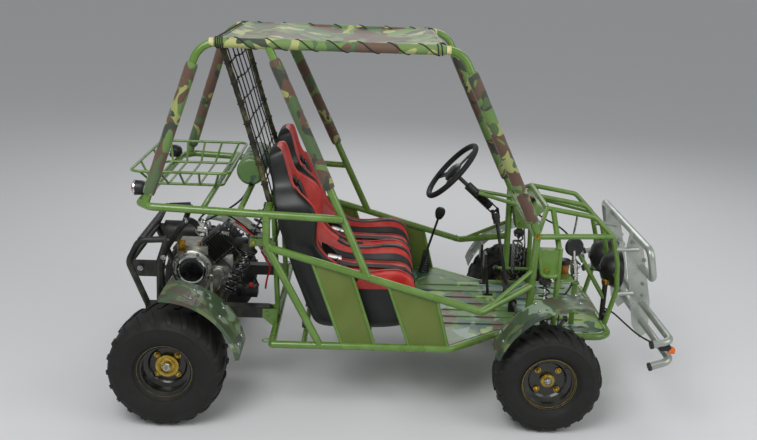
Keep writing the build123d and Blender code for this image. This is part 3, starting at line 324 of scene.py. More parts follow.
nodeFinish = {
    "glossEnamelGreen": "lower_frame upper_rail side_frame_left side_frame_right front_frame roll_cage "
                        "cargo_rack rear_mounts",
    "satinEnamelOlive": "side_panels",
    "camoFilm": "floor_pan fuel_tank",
    "camoFilmDark": "rear_fenders front_fender_left front_fender_right",
    "camoNylon": "cage_pads roof_canopy",
    "nylonCordBlack": "rear_net",
    "powderCoatBlack": "swing_arm rear_guard exhaust front_arms steering_column pedals engine_cylinder "
                       "knuckle_left knuckle_right tie_rods gear_lever",
    "springEnamelBlack": "rear_shocks front_shocks",
    "sandCastAluminium": "engine_case intake",
    "yellowZincPlate": "rear_axle front_hub_left front_hub_right",
    "rimEnamelBlack": "rear_rim_left rear_rim_right front_rim_left front_rim_right",
    "mouldedRubber": "rear_tyre_left rear_tyre_right front_tyre_left front_tyre_right",
    "foamGripBlack": "steering_wheel",
    "grainedVinylBlack": "seat_left seat_right",
    "silverEnamel": "front_bumper",
    "mouldedPlasticBlack": "headlights",
    "redLens": "tail_lamps",
}
for name, nodes in nodeFinish.items():
    for node in nodes.split():
        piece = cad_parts[node]
        if piece.material_slots:
            for slot in piece.material_slots:
                slot.material = finish[name]
        else:
            piece.data.materials.append(finish[name])
print("CAD nodes dressed")

# Making and dressing of pieces


def dress(piece, names, body="chassis", stands=(), smooth=35):
    # Place goes into the mesh, then finish, ride and the CAD nodes that it stands for
    pick(piece)
    bpy.ops.object.transform_apply(location=True, rotation=True, scale=True)
    if smooth:
        bpy.ops.object.shade_smooth_by_angle(angle=math.radians(smooth))
    names = names.split()
    if not piece.data.materials:
        for name in names:
            piece.data.materials.append(finish[name])
    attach(piece, body)
    if stands:
        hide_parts(*stands)
    return piece


def joined(name, pieces):
    unselect()
    for piece in pieces:
        piece.select_set(True)
    bpy.context.view_layer.objects.active = pieces[0]
    if len(pieces) > 1:
        bpy.ops.object.join()
    pieces[0].name = name
    pieces[0].data.name = name
    return pieces[0]


def copied(piece, matrix):
    twin = piece.copy()
    twin.data = piece.data.copy()
    scene.collection.objects.link(twin)
    twin.data.transform(matrix)
    if matrix.determinant() < 0:
        twin.data.flip_normals()
    return twin


def facing(axis):
    # Turns the up direction to the axis
    return Vector(axis).to_track_quat("Z", "Y").to_matrix().to_4x4()


def modified(piece, kind, **settings):
    pick(piece)
    step = piece.modifiers.new(kind.lower(), kind)
    for key, value in settings.items():
        setattr(step, key, value)
    bpy.ops.object.modifier_apply(modifier=step.name)
    return piece


def turned(name, profile, place, axis=(0, 1, 0), sides=32, start=0):
    # A turned piece: a circle is extruded from one (radius, height) of the profile to the next
    unselect()
    radius, height = profile[0]
    bpy.ops.mesh.primitive_circle_add(vertices=sides, radius=max(radius, 0.01) / 1000,
                                      location=(0, 0, height / 1000))
    piece = bpy.context.object
    bpy.ops.object.transform_apply(location=True)
    bpy.ops.object.mode_set(mode="EDIT")
    if radius < 0.05:
        bpy.ops.mesh.edge_face_add()
    for nextRadius, nextHeight in profile[1:]:
        bpy.ops.mesh.extrude_region_move(TRANSFORM_OT_translate={"value": (0, 0, (nextHeight - height) / 1000)})
        share = max(nextRadius, 0.01) / max(radius, 0.01)
        bpy.ops.transform.resize(value=(share, share, 1), center_override=(0, 0, nextHeight / 1000))
        radius, height = nextRadius, nextHeight
    if radius < 0.05:
        bpy.ops.mesh.edge_face_add()
    elif profile[0][0] > 0.05:
        # A ring is closed from its last circle back to its first
        bpy.ops.mesh.select_all(action="DESELECT")
        bpy.ops.mesh.select_non_manifold()
        bpy.ops.mesh.bridge_edge_loops()
    bpy.ops.mesh.select_all(action="SELECT")
    bpy.ops.mesh.normals_make_consistent(inside=False)
    bpy.ops.object.mode_set(mode="OBJECT")
    spin = Matrix.Rotation(math.radians(start), 4, "Z")
    piece.data.transform(Matrix.Translation(place) @ facing(axis) @ spin)
    piece.name = name
    return piece


def boxed(name, low, high, bevel, matrix=None):
    # A square piece between two corners in millimetres, its edges broken by a bevel
    unselect()
    bpy.ops.mesh.primitive_cube_add(size=1)
    piece = bpy.context.object
    first, last = at(*low), at(*high)
    piece.data.transform(Matrix.Translation((first + last) / 2)
                         @ Matrix.Diagonal([abs(a - b) for a, b in zip(first, last)]).to_4x4())
    if matrix is not None:
        piece.data.transform(matrix)
    bpy.ops.object.mode_set(mode="EDIT")
    bpy.ops.mesh.select_all(action="SELECT")
    bpy.ops.mesh.bevel(offset=bevel / 1000, segments=2, affect="EDGES")
    bpy.ops.object.mode_set(mode="OBJECT")
    piece.name = name
    return piece


def turnAbout(place, axis, degrees):
    spin = Matrix.Rotation(math.radians(degrees), 4, axis)
    return Matrix.Translation(place) @ spin @ Matrix.Translation(-place)


def piped(name, points, radius, resolution, steps=6):
    # A round pipe, wire or bead on a smooth line along the places
    line = bpy.data.curves.new(name, "CURVE")
    line.dimensions = "3D"
    spline = line.splines.new("NURBS")
    spline.points.add(len(points) - 1)
    for point, place in zip(spline.points, points):
        point.co = (*place, 1)
    spline.order_u = 3
    spline.use_endpoint_u = True
    spline.resolution_u = steps
    line.bevel_depth = radius / 1000
    line.bevel_resolution = resolution // 2
    line.use_fill_caps = True
    made = bpy.data.objects.new(name, line)
    scene.collection.objects.link(made)
    pick(made)
    bpy.ops.object.convert(target="MESH")
    return bpy.context.object


def meshOf(name, points, faces):
    data = bpy.data.meshes.new(name)
    data.from_pydata([tuple(p) for p in points], [], faces)
    data.update()
    made = bpy.data.objects.new(name, data)
    scene.collection.objects.link(made)
    return made


def outward(piece):
    pick(piece)
    bpy.ops.object.mode_set(mode="EDIT")
    bpy.ops.mesh.select_all(action="SELECT")
    bpy.ops.mesh.remove_doubles(threshold=0.00002)
    bpy.ops.mesh.normals_make_consistent(inside=False)
    bpy.ops.object.mode_set(mode="OBJECT")
    return piece


def eased(rows, steps):
    # Smooth values between the rows of a table, by the curve that passes through all of them
    made = []
    for index in range(len(rows) - 1):
        before, first = rows[max(index - 1, 0)], rows[index]
        second, after = rows[index + 1], rows[min(index + 2, len(rows) - 1)]
        for step in range(steps):
            t = step / steps
            made.append([0.5 * (2 * b + (c - a) * t + (2 * a - 5 * b + 4 * c - d) * t * t
                                + (3 * b - a - 3 * c + d) * t ** 3)
                         for a, b, c, d in zip(before, first, second, after)])
    return made + [list(rows[-1])]


def ribbon(name, places, widths, thickness=2.4):
    # Flat webbing along the places; widths are half-width vectors, one for each place
    points, faces = [], []
    for place, half in zip(places, widths):
        points += [place - half, place + half]
    for index in range(len(places) - 1):
        a = 2 * index
        faces.append((a, a + 1, a + 3, a + 2))
    piece = meshOf(name, points, faces)
    return modified(piece, "SOLIDIFY", thickness=thickness / 1000, offset=0)


# Bucket seats: sections along the seat from the head, down the back and out over the cushion.
# Each row: front centre x and z, back centre x and z, half width, bolster height.
seatSettings = {
    "side": 205, "alongSteps": 5, "acrossSteps": 3, "pipingR": 3.4,
    # Piping: first row, last row and step of the half section
    "piping": ((4.2, 11.4, 5.4), (12, 18.6, 5.4), (12.4, 19, 2.2)),
    "beltOut": 58, "webHalf": 24, "crotchHalf": 22, "padHalf": 34, "padThickness": 12,
    "legX": (560, 830), "legOut": 120,
}
seatRows = [
    (421, 1122, 402, 1113, 48, 0), (440, 1112, 388, 1088, 90, 6), (452, 1075, 390, 1060, 104, 10),
    (466, 1020, 399, 1010, 112, 12), (480, 975, 408, 965, 128, 18), (492, 940, 414, 930, 165, 40),
    (505, 900, 420, 895, 192, 76), (520, 850, 431, 845, 199, 86), (538, 790, 447, 785, 198, 66),
    (556, 730, 466, 725, 196, 50), (575, 680, 482, 672, 196, 66), (600, 635, 505, 600, 198, 78),
    (640, 598, 535, 520, 198, 74), (700, 580, 570, 430, 199, 58), (760, 574, 612, 362, 199, 52),
    (830, 572, 720, 352, 199, 54), (890, 572, 820, 352, 199, 60), (950, 572, 900, 356, 199, 56),
    (998, 560, 950, 362, 196, 40), (1024, 530, 975, 368, 190, 18), (1032, 488, 985, 374, 186, 5),
    (1018, 440, 990, 384, 184, 0), (1002, 396, 990, 391, 180, 0),
]
# Half of a section: share of the half width, share of the bolster height, share of the depth
seatSection = [
    (0, 0, 0), (0.30, 0, 0), (0.50, -0.02, 0.02), (0.60, 0.25, 0), (0.74, 0.85, 0), (0.86, 1, 0),
    (0.96, 0.9, 0), (1, 0.5, 0), (1, 0, 0.25), (0.985, 0, 0.7), (0.92, 0, 0.95), (0.6, 0, 1), (0, 0, 1),
]


def bucketSeat(name, side):
    s = seatSettings
    rows = eased(seatRows, s["alongSteps"])
    half = eased(seatSection, s["acrossSteps"])
    around = [(1, row) for row in half] + [(-1, row) for row in reversed(half[1:-1])]
    points = []
    for frontX, frontZ, backX, backZ, width, bolster in rows:
        front = Vector((frontX, 0, frontZ))
        back = Vector((backX, 0, backZ))
        depth = (front - back).length
        ahead = (front - back).normalized()
        for sign, (across, rise, sunk) in around:
            place = front + ahead * (rise * bolster - sunk * depth)
            points.append(at(place.x, side + sign * across * width, place.z))
    count = len(around)
    alongSteps, acrossSteps = s["alongSteps"], s["acrossSteps"]
    faces, zones = [], []
    for index in range(len(rows) - 1):
        station = index / alongSteps
        for turn in range(count):
            a, b = index * count + turn, index * count + (turn + 1) % count
            faces.append((a, b, b + count, a + count))
            step = min(turn, count - 1 - turn) / acrossSteps
            zones.append(1 if redAt(station, step) else 0)
    faces.append(tuple(reversed(range(count))))
    faces.append(tuple(range((len(rows) - 1) * count, len(rows) * count)))
    zones += [0, 0]
    seat = meshOf(name, points, faces)
    seat.data.materials.append(finish["grainedVinylBlack"])
    seat.data.materials.append(finish["grainedVinylRed"])
    outward(seat)
    for face, zone in zip(seat.data.polygons, zones):
        face.material_index = zone
    beads = []
    # Sewn piping: along the wings of the back, and along both sides of the cushion's top
    for mirrored in (False, True):
        for first, last, step in s["piping"]:
            turn = int(step * acrossSteps)
            turn = count - turn if mirrored else turn
            run = [points[index * count + turn]
                   for index in range(int(first * alongSteps), int(last * alongSteps) + 1, 2)]
            beads.append(piped("bead", run, s["pipingR"], 6, steps=3))
    piping = joined(name + ".piping", beads)
    return seat, piping


def redAt(station, step):
    # Red cloth on the head and the inner faces of the back, black along the spine of the back,
    # and red bands between black channels on the cushion
    if station < 4.4:
        return step < 6.6
    if station < 11.6:
        return 2.2 < step < 5.4
    if station < 19.2:
        return step < 1.6 or 5.4 <= step < 7.6 and station > 14 or 3.0 < step < 3.7
    return False


def harness(side):
    # Two shoulder belts with pads, the lap belts and the crotch belt
    s = seatSettings
    belts, pads = [], []
    for offset in (-s["beltOut"], s["beltOut"]):
        y = side + offset
        run = [(400, y * 0.3 + side * 0.7, 905), (412, y, 960), (455, y, 985), (492, y, 960), (520, y, 900),
               (538, y, 850), (556, y, 790), (573, y * 0.8 + side * 0.2, 730), (592, y * 0.6 + side * 0.4, 680),
               (628, side + offset * 0.35, 622), (668, side + offset * 0.15, 598)]
        places = [at(*p) for p in run]
        belts.append(ribbon("belt", places, [Vector((0, s["webHalf"] / 1000, 0))] * len(places)))
        pad = [at(x + 7, y, z + 4) for x, z in ((500, 940), (520, 890), (538, 838), (554, 786), (566, 742))]
        pads.append(ribbon("pad", pad, [Vector((0, s["padHalf"] / 1000, 0))] * len(pad), s["padThickness"]))
    for sign in (-1, 1):
        run = [(585, side + sign * 128, 628), (625, side + sign * 100, 622), (660, side + sign * 60, 606),
               (680, side + sign * 18, 600)]
        belts.append(ribbon("lap", [at(*p) for p in run], [Vector((0.012, 0, 0.02))] * len(run)))
    run = [(690, side, 594), (760, side, 583), (850, side, 581), (930, side, 580), (992, side, 570),
           (1034, side, 528), (1038, side, 480), (1018, side, 420)]
    belts.append(ribbon("crotch", [at(*p) for p in run], [Vector((0, s["crotchHalf"] / 1000, 0))] * len(run)))
    return belts, pads


for word, sign in hands:
    middle = sign * seatSettings["side"]
    seat, piping = bucketSeat(f"seat_{word}.cover", middle)
    modified(seat, "SUBSURF", levels=1, render_levels=1)
    dress(seat, "grainedVinylBlack grainedVinylRed", "chassis", (f"seat_{word}",), 60)
    dress(piping, "grainedVinylRed")
    belts, pads = harness(middle)
    webbing = dress(joined(f"seat_{word}.harness", belts), "nylonCordBlack", smooth=50)
    pads = modified(joined(f"seat_{word}.shoulder_pads", pads), "BEVEL", width=0.004, segments=2)
    dress(pads, "grainedVinylBlack")
    plates = [boxed("buckle", (640, middle - 28, 600), (706, middle + 28, 622), 5,
                    turnAbout(at(672, middle, 610), "Y", 12))]
    for offset in (-seatSettings["beltOut"], seatSettings["beltOut"]):
        y = middle + offset
        plates.append(boxed("adjuster", (556, y - 30, 714), (584, y + 30, 724), 2,
                            turnAbout(at(570, y, 719), "Y", -60)))
    dress(joined(f"seat_{word}.buckles", plates), "brightZincPlate")
    stand = []
    for x in seatSettings["legX"]:
        for offset in (-seatSettings["legOut"], seatSettings["legOut"]):
            y = middle + offset
            stand.append(boxed("leg", (x - 18, y - 14, 330), (x + 18, y + 14, 360), 2))
            stand.append(turned("foot", [(0, 0), (9, 0), (9, 26), (0, 26)], at(x, y, 305), (0, 0, 1), 12))
    dress(joined(f"seat_{word}.legs", stand), "powderCoatBlack")
print("seats made")

# Soft goods on the cage


def wrinkled(name, start, end, radius, ruffle=1.0, hem=0.9, step=11, sides=22):
    # A stuffed or wrapped sleeve along a straight tube: gathered hems, slow bulges and fine creases
    axis = end - start
    length = axis.length
    turn = facing(axis)
    count = max(6, int(length * 1000 / step))
    rng = random.Random(name)
    # Folds round the tube, folds along it, where they start and how high they stand
    waves = [(round(rng.uniform(1, 4)), rng.uniform(4, 26), rng.uniform(0, 6.28), rng.uniform(0.3, 1))
             for _ in range(9)]
    points, faces = [], []
    for ring in range(count + 1):
        share = ring / count
        edge = min(share, 1 - share) * length * 1000
        body = hem + (1 - hem) * min(1, edge / 16) ** 0.5
        for side in range(sides):
            angle = 2 * math.pi * side / sides
            crease = sum(size * math.sin(a * angle + b * share * 3 + c) for a, b, c, size in waves) / 5
            gather = math.sin(angle * 9) * 0.9 * max(0, 1 - edge / 22)
            r = radius * body + ruffle * (crease * (0.4 + 0.6 * min(1, edge / 40)) + gather)
            across = Vector((r * math.cos(angle) / 1000, r * math.sin(angle) / 1000, share * length))
            points.append(start + turn.to_3x3() @ across)
    for ring in range(count):
        for side in range(sides):
            a, b = ring * sides + side, ring * sides + (side + 1) % sides
            faces.append((a, b, b + sides, a + sides))
    # The hems turn in to the tube
    for ring, flip in ((0, True), (count, False)):
        centre = start + turn.to_3x3() @ Vector((0, 0, ring / count * length))
        inner = len(points)
        for side in range(sides):
            points.append(centre + (points[ring * sides + side] - centre) * 0.72)
        for side in range(sides):
            a, b = ring * sides + side, ring * sides + (side + 1) % sides
            c, d = inner + (side + 1) % sides, inner + side
            faces.append((b, a, d, c) if flip else (a, b, c, d))
        cap = range(inner, inner + sides)
        faces.append(tuple(reversed(cap)) if flip else tuple(cap))
    return outward(meshOf(name, points, faces))


def lacing(name, start, end, radius, pitch, cordR=2.4, visible=0.32, phase=0.0):
    # A cord wound round a tube: it crosses the outer side steeply and runs on behind
    axis = end - start
    length = axis.length * 1000
    turn = facing(axis)
    places = []
    count = max(2, int(length / pitch))
    for index in range(count * 12 + 1):
        share = index / 12 % 1
        whole = index // 12
        run = share / 0.5 * visible if share < 0.5 else visible + (share - 0.5) / 0.5 * (1 - visible)
        angle = 2 * math.pi * (share + phase)
        place = start + axis * ((whole + run) / count)
        places.append(place + turn.to_3x3() @ (Vector((math.cos(angle), math.sin(angle), 0)) * radius / 1000))
    return piped(name, places, cordR, 4, steps=2)


# Foam sleeves: low and high end of each tube, and the heights between which its sleeve runs
sleeveSettings = {"radius": 25.2, "ruffle": 0.9, "hem": 0.86}
cageTubes = {
    "rear": ((-90, 476, 908), (130, 390, 1560), 955, 1478),
    "middle": ((396, 390, 1560), (822, 490, 631), 1500, 995),
    "front": ((1532, 380, 812), (1167, 390, 1560), 862, 1472),
}
pads = []
for side in (-1, 1):
    for name, (low, high, first, last) in cageTubes.items():
        a, b = at(low[0], side * low[1], low[2]), at(high[0], side * high[1], high[2])
        ends = [a + (b - a) * ((z - low[2]) / (high[2] - low[2])) for z in (first, last)]
        pads.append(wrinkled(f"cage_pad.{name}{side}", ends[0], ends[1], **sleeveSettings))
padding = dress(joined("cage_pads.cloth", pads), "camoSleeve", "chassis", ("cage_pads",), 70)

# Canopy: one stretched cloth, its four sides sewn round the roof tubes
canopySettings = {
    "x": (205, 1088), "bar": 396, "side": 390, "z": 1560, "tubeR": 20.6, "sag": 40, "cells": (56, 48),
    "thickness": 2.2, "ruffle": 0.45, "cordX": (232, 1078), "tapeX": ((168, 188), (1103, 1122)),
}


def canopySheet():
    s = canopySettings
    (x0, x1), (nx, ny) = s["x"], s["cells"]
    points, faces = [], []
    for i in range(nx + 1):
        v = i / nx
        for j in range(ny + 1):
            u = j / ny * 2 - 1
            edge = 1 - max(abs(u), abs(2 * v - 1))
            x = x0 + (x1 - x0) * v
            y = s["side"] * u
            # The cloth lies over the bar behind the seats and hangs between it and the end bars
            bay = (x - s["bar"]) / (x1 - s["bar"]) if x > s["bar"] else (s["bar"] - x) / (s["bar"] - x0)
            deep = s["sag"] if x > s["bar"] else s["sag"] * 0.3
            drop = deep * max(0, 1 - u * u) ** 0.5 * max(0, 1 - (2 * bay - 1) ** 2)
            # Pulls from the lacing points die out towards the middle; long soft folds lie between
            ahead = abs(2 * v - 1)
            pull = 3.2 * math.sin((x - 40) / 110 * 6.283) * math.exp(-(1 - abs(u)) * 9) * (1 - ahead) ** 0.3
            fold = 2.6 * math.sin(y / 58 + 0.8 * math.sin(x / 190)) * min(1, edge * 4) * (0.4 + 0.6 * ahead)
            points.append(at(x, y, s["z"] + s["tubeR"] - 0.4 - drop + pull * min(1, edge * 12)
                             + fold * min(1, abs(x - s["bar"]) / 60)))
    for i in range(nx):
        for j in range(ny):
            a = i * (ny + 1) + j
            faces.append((a, a + ny + 1, a + ny + 2, a + 1))
    sheet = meshOf("canopySheet", points, faces)
    return modified(sheet, "SOLIDIFY", thickness=s["thickness"] / 1000, offset=-1)


def roofAt(x, y):
    return at(x, y, canopySettings["z"])


c = canopySettings
wraps = [canopySheet()]
for side in (-c["side"], c["side"]):
    # The number in the name sets the random draws of the folds
    wraps.append(wrinkled(f"sideWrap{side // c['side']}", roofAt(190, side), roofAt(1100, side), c["tubeR"],
                          c["ruffle"], 0.93))
for x in c["x"]:
    wraps.append(wrinkled(f"barWrap{x}", roofAt(x, -362), roofAt(x, 362), c["tubeR"], c["ruffle"], 0.95))
canopy = dress(joined("roof_canopy.cloth", wraps), "camoNylon", "chassis", ("roof_canopy",), 60)

cords = []
for side in (-c["side"], c["side"]):
    near = side / c["side"]
    cords.append(lacing("sideLacing", *(roofAt(x, side) for x in c["cordX"]), 22.6, 106, 2.6, phase=0.75))
    for x in c["x"]:
        cords.append(lacing("cornerLacing", roofAt(x, near * 366), roofAt(x, near * 290), 22.4, 26, 2.4, 0.4))
    cords.append(lacing("cornerWrap", roofAt(192, side), roofAt(226, side), 22.8, 8, 2.6, 0.5))
    cords.append(lacing("cornerWrap", roofAt(1062, side), roofAt(1092, side), 22.8, 10, 2.4, 0.5))
cords.append(lacing("barLacing", roofAt(c["x"][0], -280), roofAt(c["x"][0], 280), 22.4, 46, 2.4, 0.4))
dress(joined("roof_canopy.lacing", cords), "nylonCordBlack", smooth=60)
tape = []
for side in (-c["side"], c["side"]):
    for x0, x1 in c["tapeX"]:
        tape.append(turned("tape", [(16.4, 0), (18.2, 0.6), (18.2, x1 - x0 - 0.6), (16.4, x1 - x0)],
                           roofAt(x0, side), (1, 0, 0), 24))
dress(joined("roof_canopy.tape", tape), "paleTape")

# Net behind the seats: rolled webbing down both sides, knotted cords between
netSettings = {"top": (205, 1556), "foot": (402, 892), "half": 338, "columns": 7, "rows": 9, "cordR": 3.0,
               "bandR": 12}


def netPlace(u, v, rng=None):
    s = netSettings
    x = s["top"][0] + (s["foot"][0] - s["top"][0]) * v
    z = s["top"][1] + (s["foot"][1] - s["top"][1]) * v
    y = s["half"] * u * (1 - 0.10 * math.sin(math.pi * v))
    if rng:
        y += rng.uniform(-9, 9)
        z += rng.uniform(-11, 11)
    return at(x, y, z)


def makeNet():
    s = netSettings
    rng = random.Random("net")
    columns, rows = s["columns"], s["rows"]
    knots = []
    for i in range(columns):
        # Only the knots inside the net's edge are moved a little at random
        inside = [0 < i < columns - 1 and 0 < j < rows - 1 for j in range(rows)]
        knots.append([netPlace(2 * i / (columns - 1) - 1, j / (rows - 1), rng if inside[j] else None)
                      for j in range(rows)])
    lines = []
    for i in range(1, columns - 1):
        lines.append(piped("cord", knots[i], s["cordR"], 4, steps=3))
    for j in range(1, rows):
        row = [knots[i][j] + Vector((0, 0, -0.004)) for i in range(columns)]
        lines.append(piped("cord", row, s["cordR"], 4, steps=3))
    for i in range(1, columns - 1):
        for j in range(1, rows - 1):
            unselect()
            bpy.ops.mesh.primitive_ico_sphere_add(subdivisions=1, radius=0.0062, location=knots[i][j])
            lines.append(bpy.context.object)
    for i in (0, columns - 1):
        for j in range(1, rows - 1):
            centre = knots[i][j]
            lines.append(lacing("tie", centre + Vector((0.002, 0, 0.012)), centre - Vector((0.002, 0, 0.012)),
                                s["bandR"] + 2, 8, 2.2, 0.5))
    return joined("rear_net.cords", lines)


dress(makeNet(), "nylonCordBlack", "chassis", ("rear_net",), 60)
bands = []
for side in (-1, 1):
    for index in range(6):
        a, b = netPlace(side, index / 6), netPlace(side, (index + 1.04) / 6)
        bands.append(wrinkled(f"band{side}{index}", a, b, netSettings["bandR"], 1.3, 0.9, 9, 14))
dress(joined("rear_net.bands", bands), "mottledWebbing", smooth=70)
print("soft goods made")

# Balloon tyres: a turned carcass with round shoulders; shallow lugs are modelled once and copied
tyreSettings = {
    "rear": {"crownR": 243, "w": 240, "seat": 112, "x": 0, "y": 540, "z": 245, "lugs": 22},
    "front": {"crownR": 224, "w": 180, "seat": 112, "x": 1590, "y": 540, "z": 225, "lugs": 22},
}


def tyre(name, kind, side, node, body):
    s = tyreSettings[kind]
    crownR, half = s["crownR"], s["w"] / 2
    # Radius and share of the half width, from the inner bead over the crown to the outer bead
    outer = [(s["seat"] + rise, share) for rise, share in
             ((-8, 0.66), (2, 0.735), (9, 0.76), (14, 0.79), (17, 0.87))]
    outer += [(crownR * part, share) for part, share in
              ((0.60, 0.93), (0.66, 0.972), (0.72, 0.996), (0.78, 1), (0.81, 0.995), (0.815, 1.0), (0.83, 1.0),
               (0.835, 0.985), (0.88, 0.95), (0.92, 0.88), (0.948, 0.78), (0.965, 0.62), (0.973, 0.40),
               (0.977, 0.14))]
    profile = [(r, -share * half) for r, share in outer] + [(r, share * half) for r, share in reversed(outer)]
    centre = at(s["x"], side * s["y"], s["z"])
    carcass = turned(name, profile, centre, (0, 1, 0), 84)
    # One lug: a bar that climbs the shoulder and runs slantwise over the crown
    unselect()
    bpy.ops.mesh.primitive_plane_add(size=1)
    lug = bpy.context.object
    lug.data.transform(Matrix.Diagonal((0.019, 0.0105, 1, 1)))
    lug.data.transform(Matrix.Rotation(math.radians(90), 4, "X"))
    # Part of the crown's radius less some millimetres, share of the half width, shift round the tyre
    run = [(crownR * part - less, share, shift) for part, less, share, shift in
           ((0.895, 4, 0.95, 0), (0.94, 2, 0.865, 3), (0.966, 2, 0.76, 8), (0.984, 2.6, 0.55, 17),
            (0.992, 4, 0.32, 27), (0.994, 5.4, 0.10, 34))]
    lug.data.transform(Matrix.Translation(Vector((0, run[0][1] * half, run[0][0])) / 1000))
    bpy.ops.object.mode_set(mode="EDIT")
    bpy.ops.mesh.select_all(action="SELECT")
    for (r0, y0, t0), (r1, y1, t1) in zip(run, run[1:]):
        move = (-(t1 - t0) / 1000, (y1 - y0) * half / 1000, (r1 - r0) / 1000)
        bpy.ops.mesh.extrude_region_move(TRANSFORM_OT_translate={"value": move})
    bpy.ops.mesh.select_all(action="SELECT")
    bpy.ops.mesh.normals_make_consistent(inside=False)
    bpy.ops.mesh.bevel(offset=0.0012, segments=1, affect="EDGES")
    bpy.ops.object.mode_set(mode="OBJECT")
    lugs = []
    mirror = Matrix.Diagonal((1, -1, 1, 1))
    for index in range(s["lugs"]):
        for other in (0, 1):
            angle = 2 * math.pi * (index + 0.5 * other) / s["lugs"]
            turn = Matrix.Translation(centre) @ Matrix.Rotation(angle, 4, "Y")
            lugs.append(copied(lug, turn @ mirror if other else turn))
    bpy.data.objects.remove(lug)
    return dress(joined(name, [carcass] + lugs), "mouldedRubber", body, (node,), 40)


for word, side in hands:
    tyre(f"rear_tyre_{word}.balloon", "rear", side, f"rear_tyre_{word}", "rear_axle")
    tyre(f"front_tyre_{word}.balloon", "front", side, f"front_tyre_{word}", f"front_wheel_{word}")
print("tyres made")


def hexNut(name, place, axis, across, height, start=0, bore=0.42):
    return turned(name, [(across * bore, 0), (across * 0.5, 0), (across * 0.577, height * 0.12),
                         (across * 0.577, height * 0.86), (across * 0.5, height), (across * bore, height)],
                  place, axis, 6, start)


def bolted(name, places, axis, across, height):
    # A hexagon head, a washer and the threaded end, modelled once and copied to each place
    head = hexNut("head", Vector((0, 0, 0.0016)), (0, 0, 1), across, height)
    stud = turned("stud", [(across * 0.3, 0), (across * 0.3, height + 3), (across * 0.24, height + 4),
                           (0, height + 4)], Vector(), (0, 0, 1), 12)
    washer = turned("washer", [(across * 0.4, 0), (across * 0.78, 0), (across * 0.78, 1.6),
                               (across * 0.4, 1.6)], Vector(), (0, 0, 1), 20)
    one = joined(name, [head, stud, washer])
    turn = facing(axis)
    copies = [copied(one, Matrix.Translation(place) @ turn @ Matrix.Rotation(0.5 * index, 4, "Z"))
              for index, place in enumerate(places)]
    bpy.data.objects.remove(one)
    return joined(name, copies)


# Wheels: nuts on the hub flange, the gold lip line and the valve
wheelSettings = {
    "nutCircleR": 60, "lipR": 113.5, "lipStep": (6, 4), "lipWireR": 1.2,
    "rear": {"x": 0, "z": 245, "face": 556, "lipY": 628, "ringY": 575.6, "ringR": 33, "nut": (34, 15)},
    "front": {"x": 1590, "z": 225, "face": 559, "lipY": 609, "ringY": 575, "ringR": 24, "nut": (27, 9)},
}
for word, side in hands:
    for kind, body in (("rear", "rear_axle"), ("front", f"front_wheel_{word}")):
        w = wheelSettings[kind]
        axis = (0, side, 0)
        places = []
        for index in range(4):
            angle = math.radians(45 + 90 * index)
            circleR = wheelSettings["nutCircleR"]
            places.append(at(w["x"] + circleR * math.cos(angle), side * (w["face"] + 4),
                             w["z"] + circleR * math.sin(angle)))
        nuts = bolted(f"{kind}_wheel_{word}.nuts", places, axis, 17, 9)
        dress(nuts, "yellowZincPlate", body)
        lips = []
        for line in (0, 1):
            inset, shrink = (line * step for step in wheelSettings["lipStep"])
            unselect()
            bpy.ops.mesh.primitive_torus_add(major_radius=(wheelSettings["lipR"] - shrink) / 1000,
                                             minor_radius=wheelSettings["lipWireR"] / 1000,
                                             major_segments=72, minor_segments=8)
            ring = bpy.context.object
            place = at(w["x"], side * (w["lipY"] - inset), w["z"])
            ring.data.transform(Matrix.Translation(place) @ facing(axis))
            lips.append(ring)
        dress(joined(f"{kind}_wheel_{word}.lip", lips), "yellowZincPlate", body)
        valve = turned(f"{kind}_wheel_{word}.valve",
                       [(4.5, 0), (4.5, 10), (3.4, 14), (3.4, 26), (4.2, 26.5), (4.2, 34), (0, 35)],
                       at(w["x"] + 66, side * (w["face"] - 2), w["z"] + 54), (0.5, side, 0.4), 12)
        dress(valve, "hoseRubber", body)
print("wheel fittings made")


def helix(name, low, high, coilR, wireR, turns):
    # Closed coils at both ends, open ones between them
    axis = high - low
    turn = facing(axis).to_3x3()
    places = []
    steps = 18
    total = int(turns * steps)
    for index in range(total + 1):
        share = index / total
        closed = 1.2 / turns
        if share < closed:
            run = share * 0.35
        elif share > 1 - closed:
            run = 1 - (1 - share) * 0.35
        else:
            run = closed * 0.35 + (share - closed) / (1 - 2 * closed) * (1 - 0.7 * closed)
        angle = 2 * math.pi * index / steps
        places.append(low + axis * run + turn @ (Vector((math.cos(angle), math.sin(angle), 0)) * coilR / 1000))
    return piped(name, places, wireR, 8, steps=2)


def shock(name, low, high, coilR, wireR, turns, bodyR):
    axis = high - low
    length = axis.length * 1000
    coil = helix(name + ".spring", low + axis * 0.2, low + axis * 0.86, coilR - wireR, wireR, turns)
    seatR = coilR + 2
    body = turned(name + ".body", [(0, 12), (bodyR, 12), (bodyR, length * 0.17), (bodyR + 3, length * 0.17),
                                   (seatR, length * 0.185), (seatR, length * 0.2), (bodyR, length * 0.2),
                                   (bodyR, length * 0.55), (bodyR - 2, length * 0.56), (0, length * 0.56)],
                  low, axis, 28)
    cap = turned(name + ".cap", [(0, length * 0.80), (bodyR * 0.7, length * 0.80), (bodyR * 0.7, length * 0.86),
                                 (seatR, length * 0.86), (seatR, length * 0.885), (bodyR + 4, length * 0.91),
                                 (bodyR, length - 12), (0, length - 12)], low, axis, 28)
    rod = turned(name + ".rod", [(bodyR * 0.45, length * 0.5), (bodyR * 0.45, length * 0.84)], low, axis, 16)
    eyes = []
    for place in (low, high):
        eyes.append(turned(name + ".eye", [(7, -13), (17, -13), (18, -11), (18, 11), (17, 13), (7, 13)], place,
                           (0, 1, 0), 24))
    return coil, [body, cap] + eyes, rod


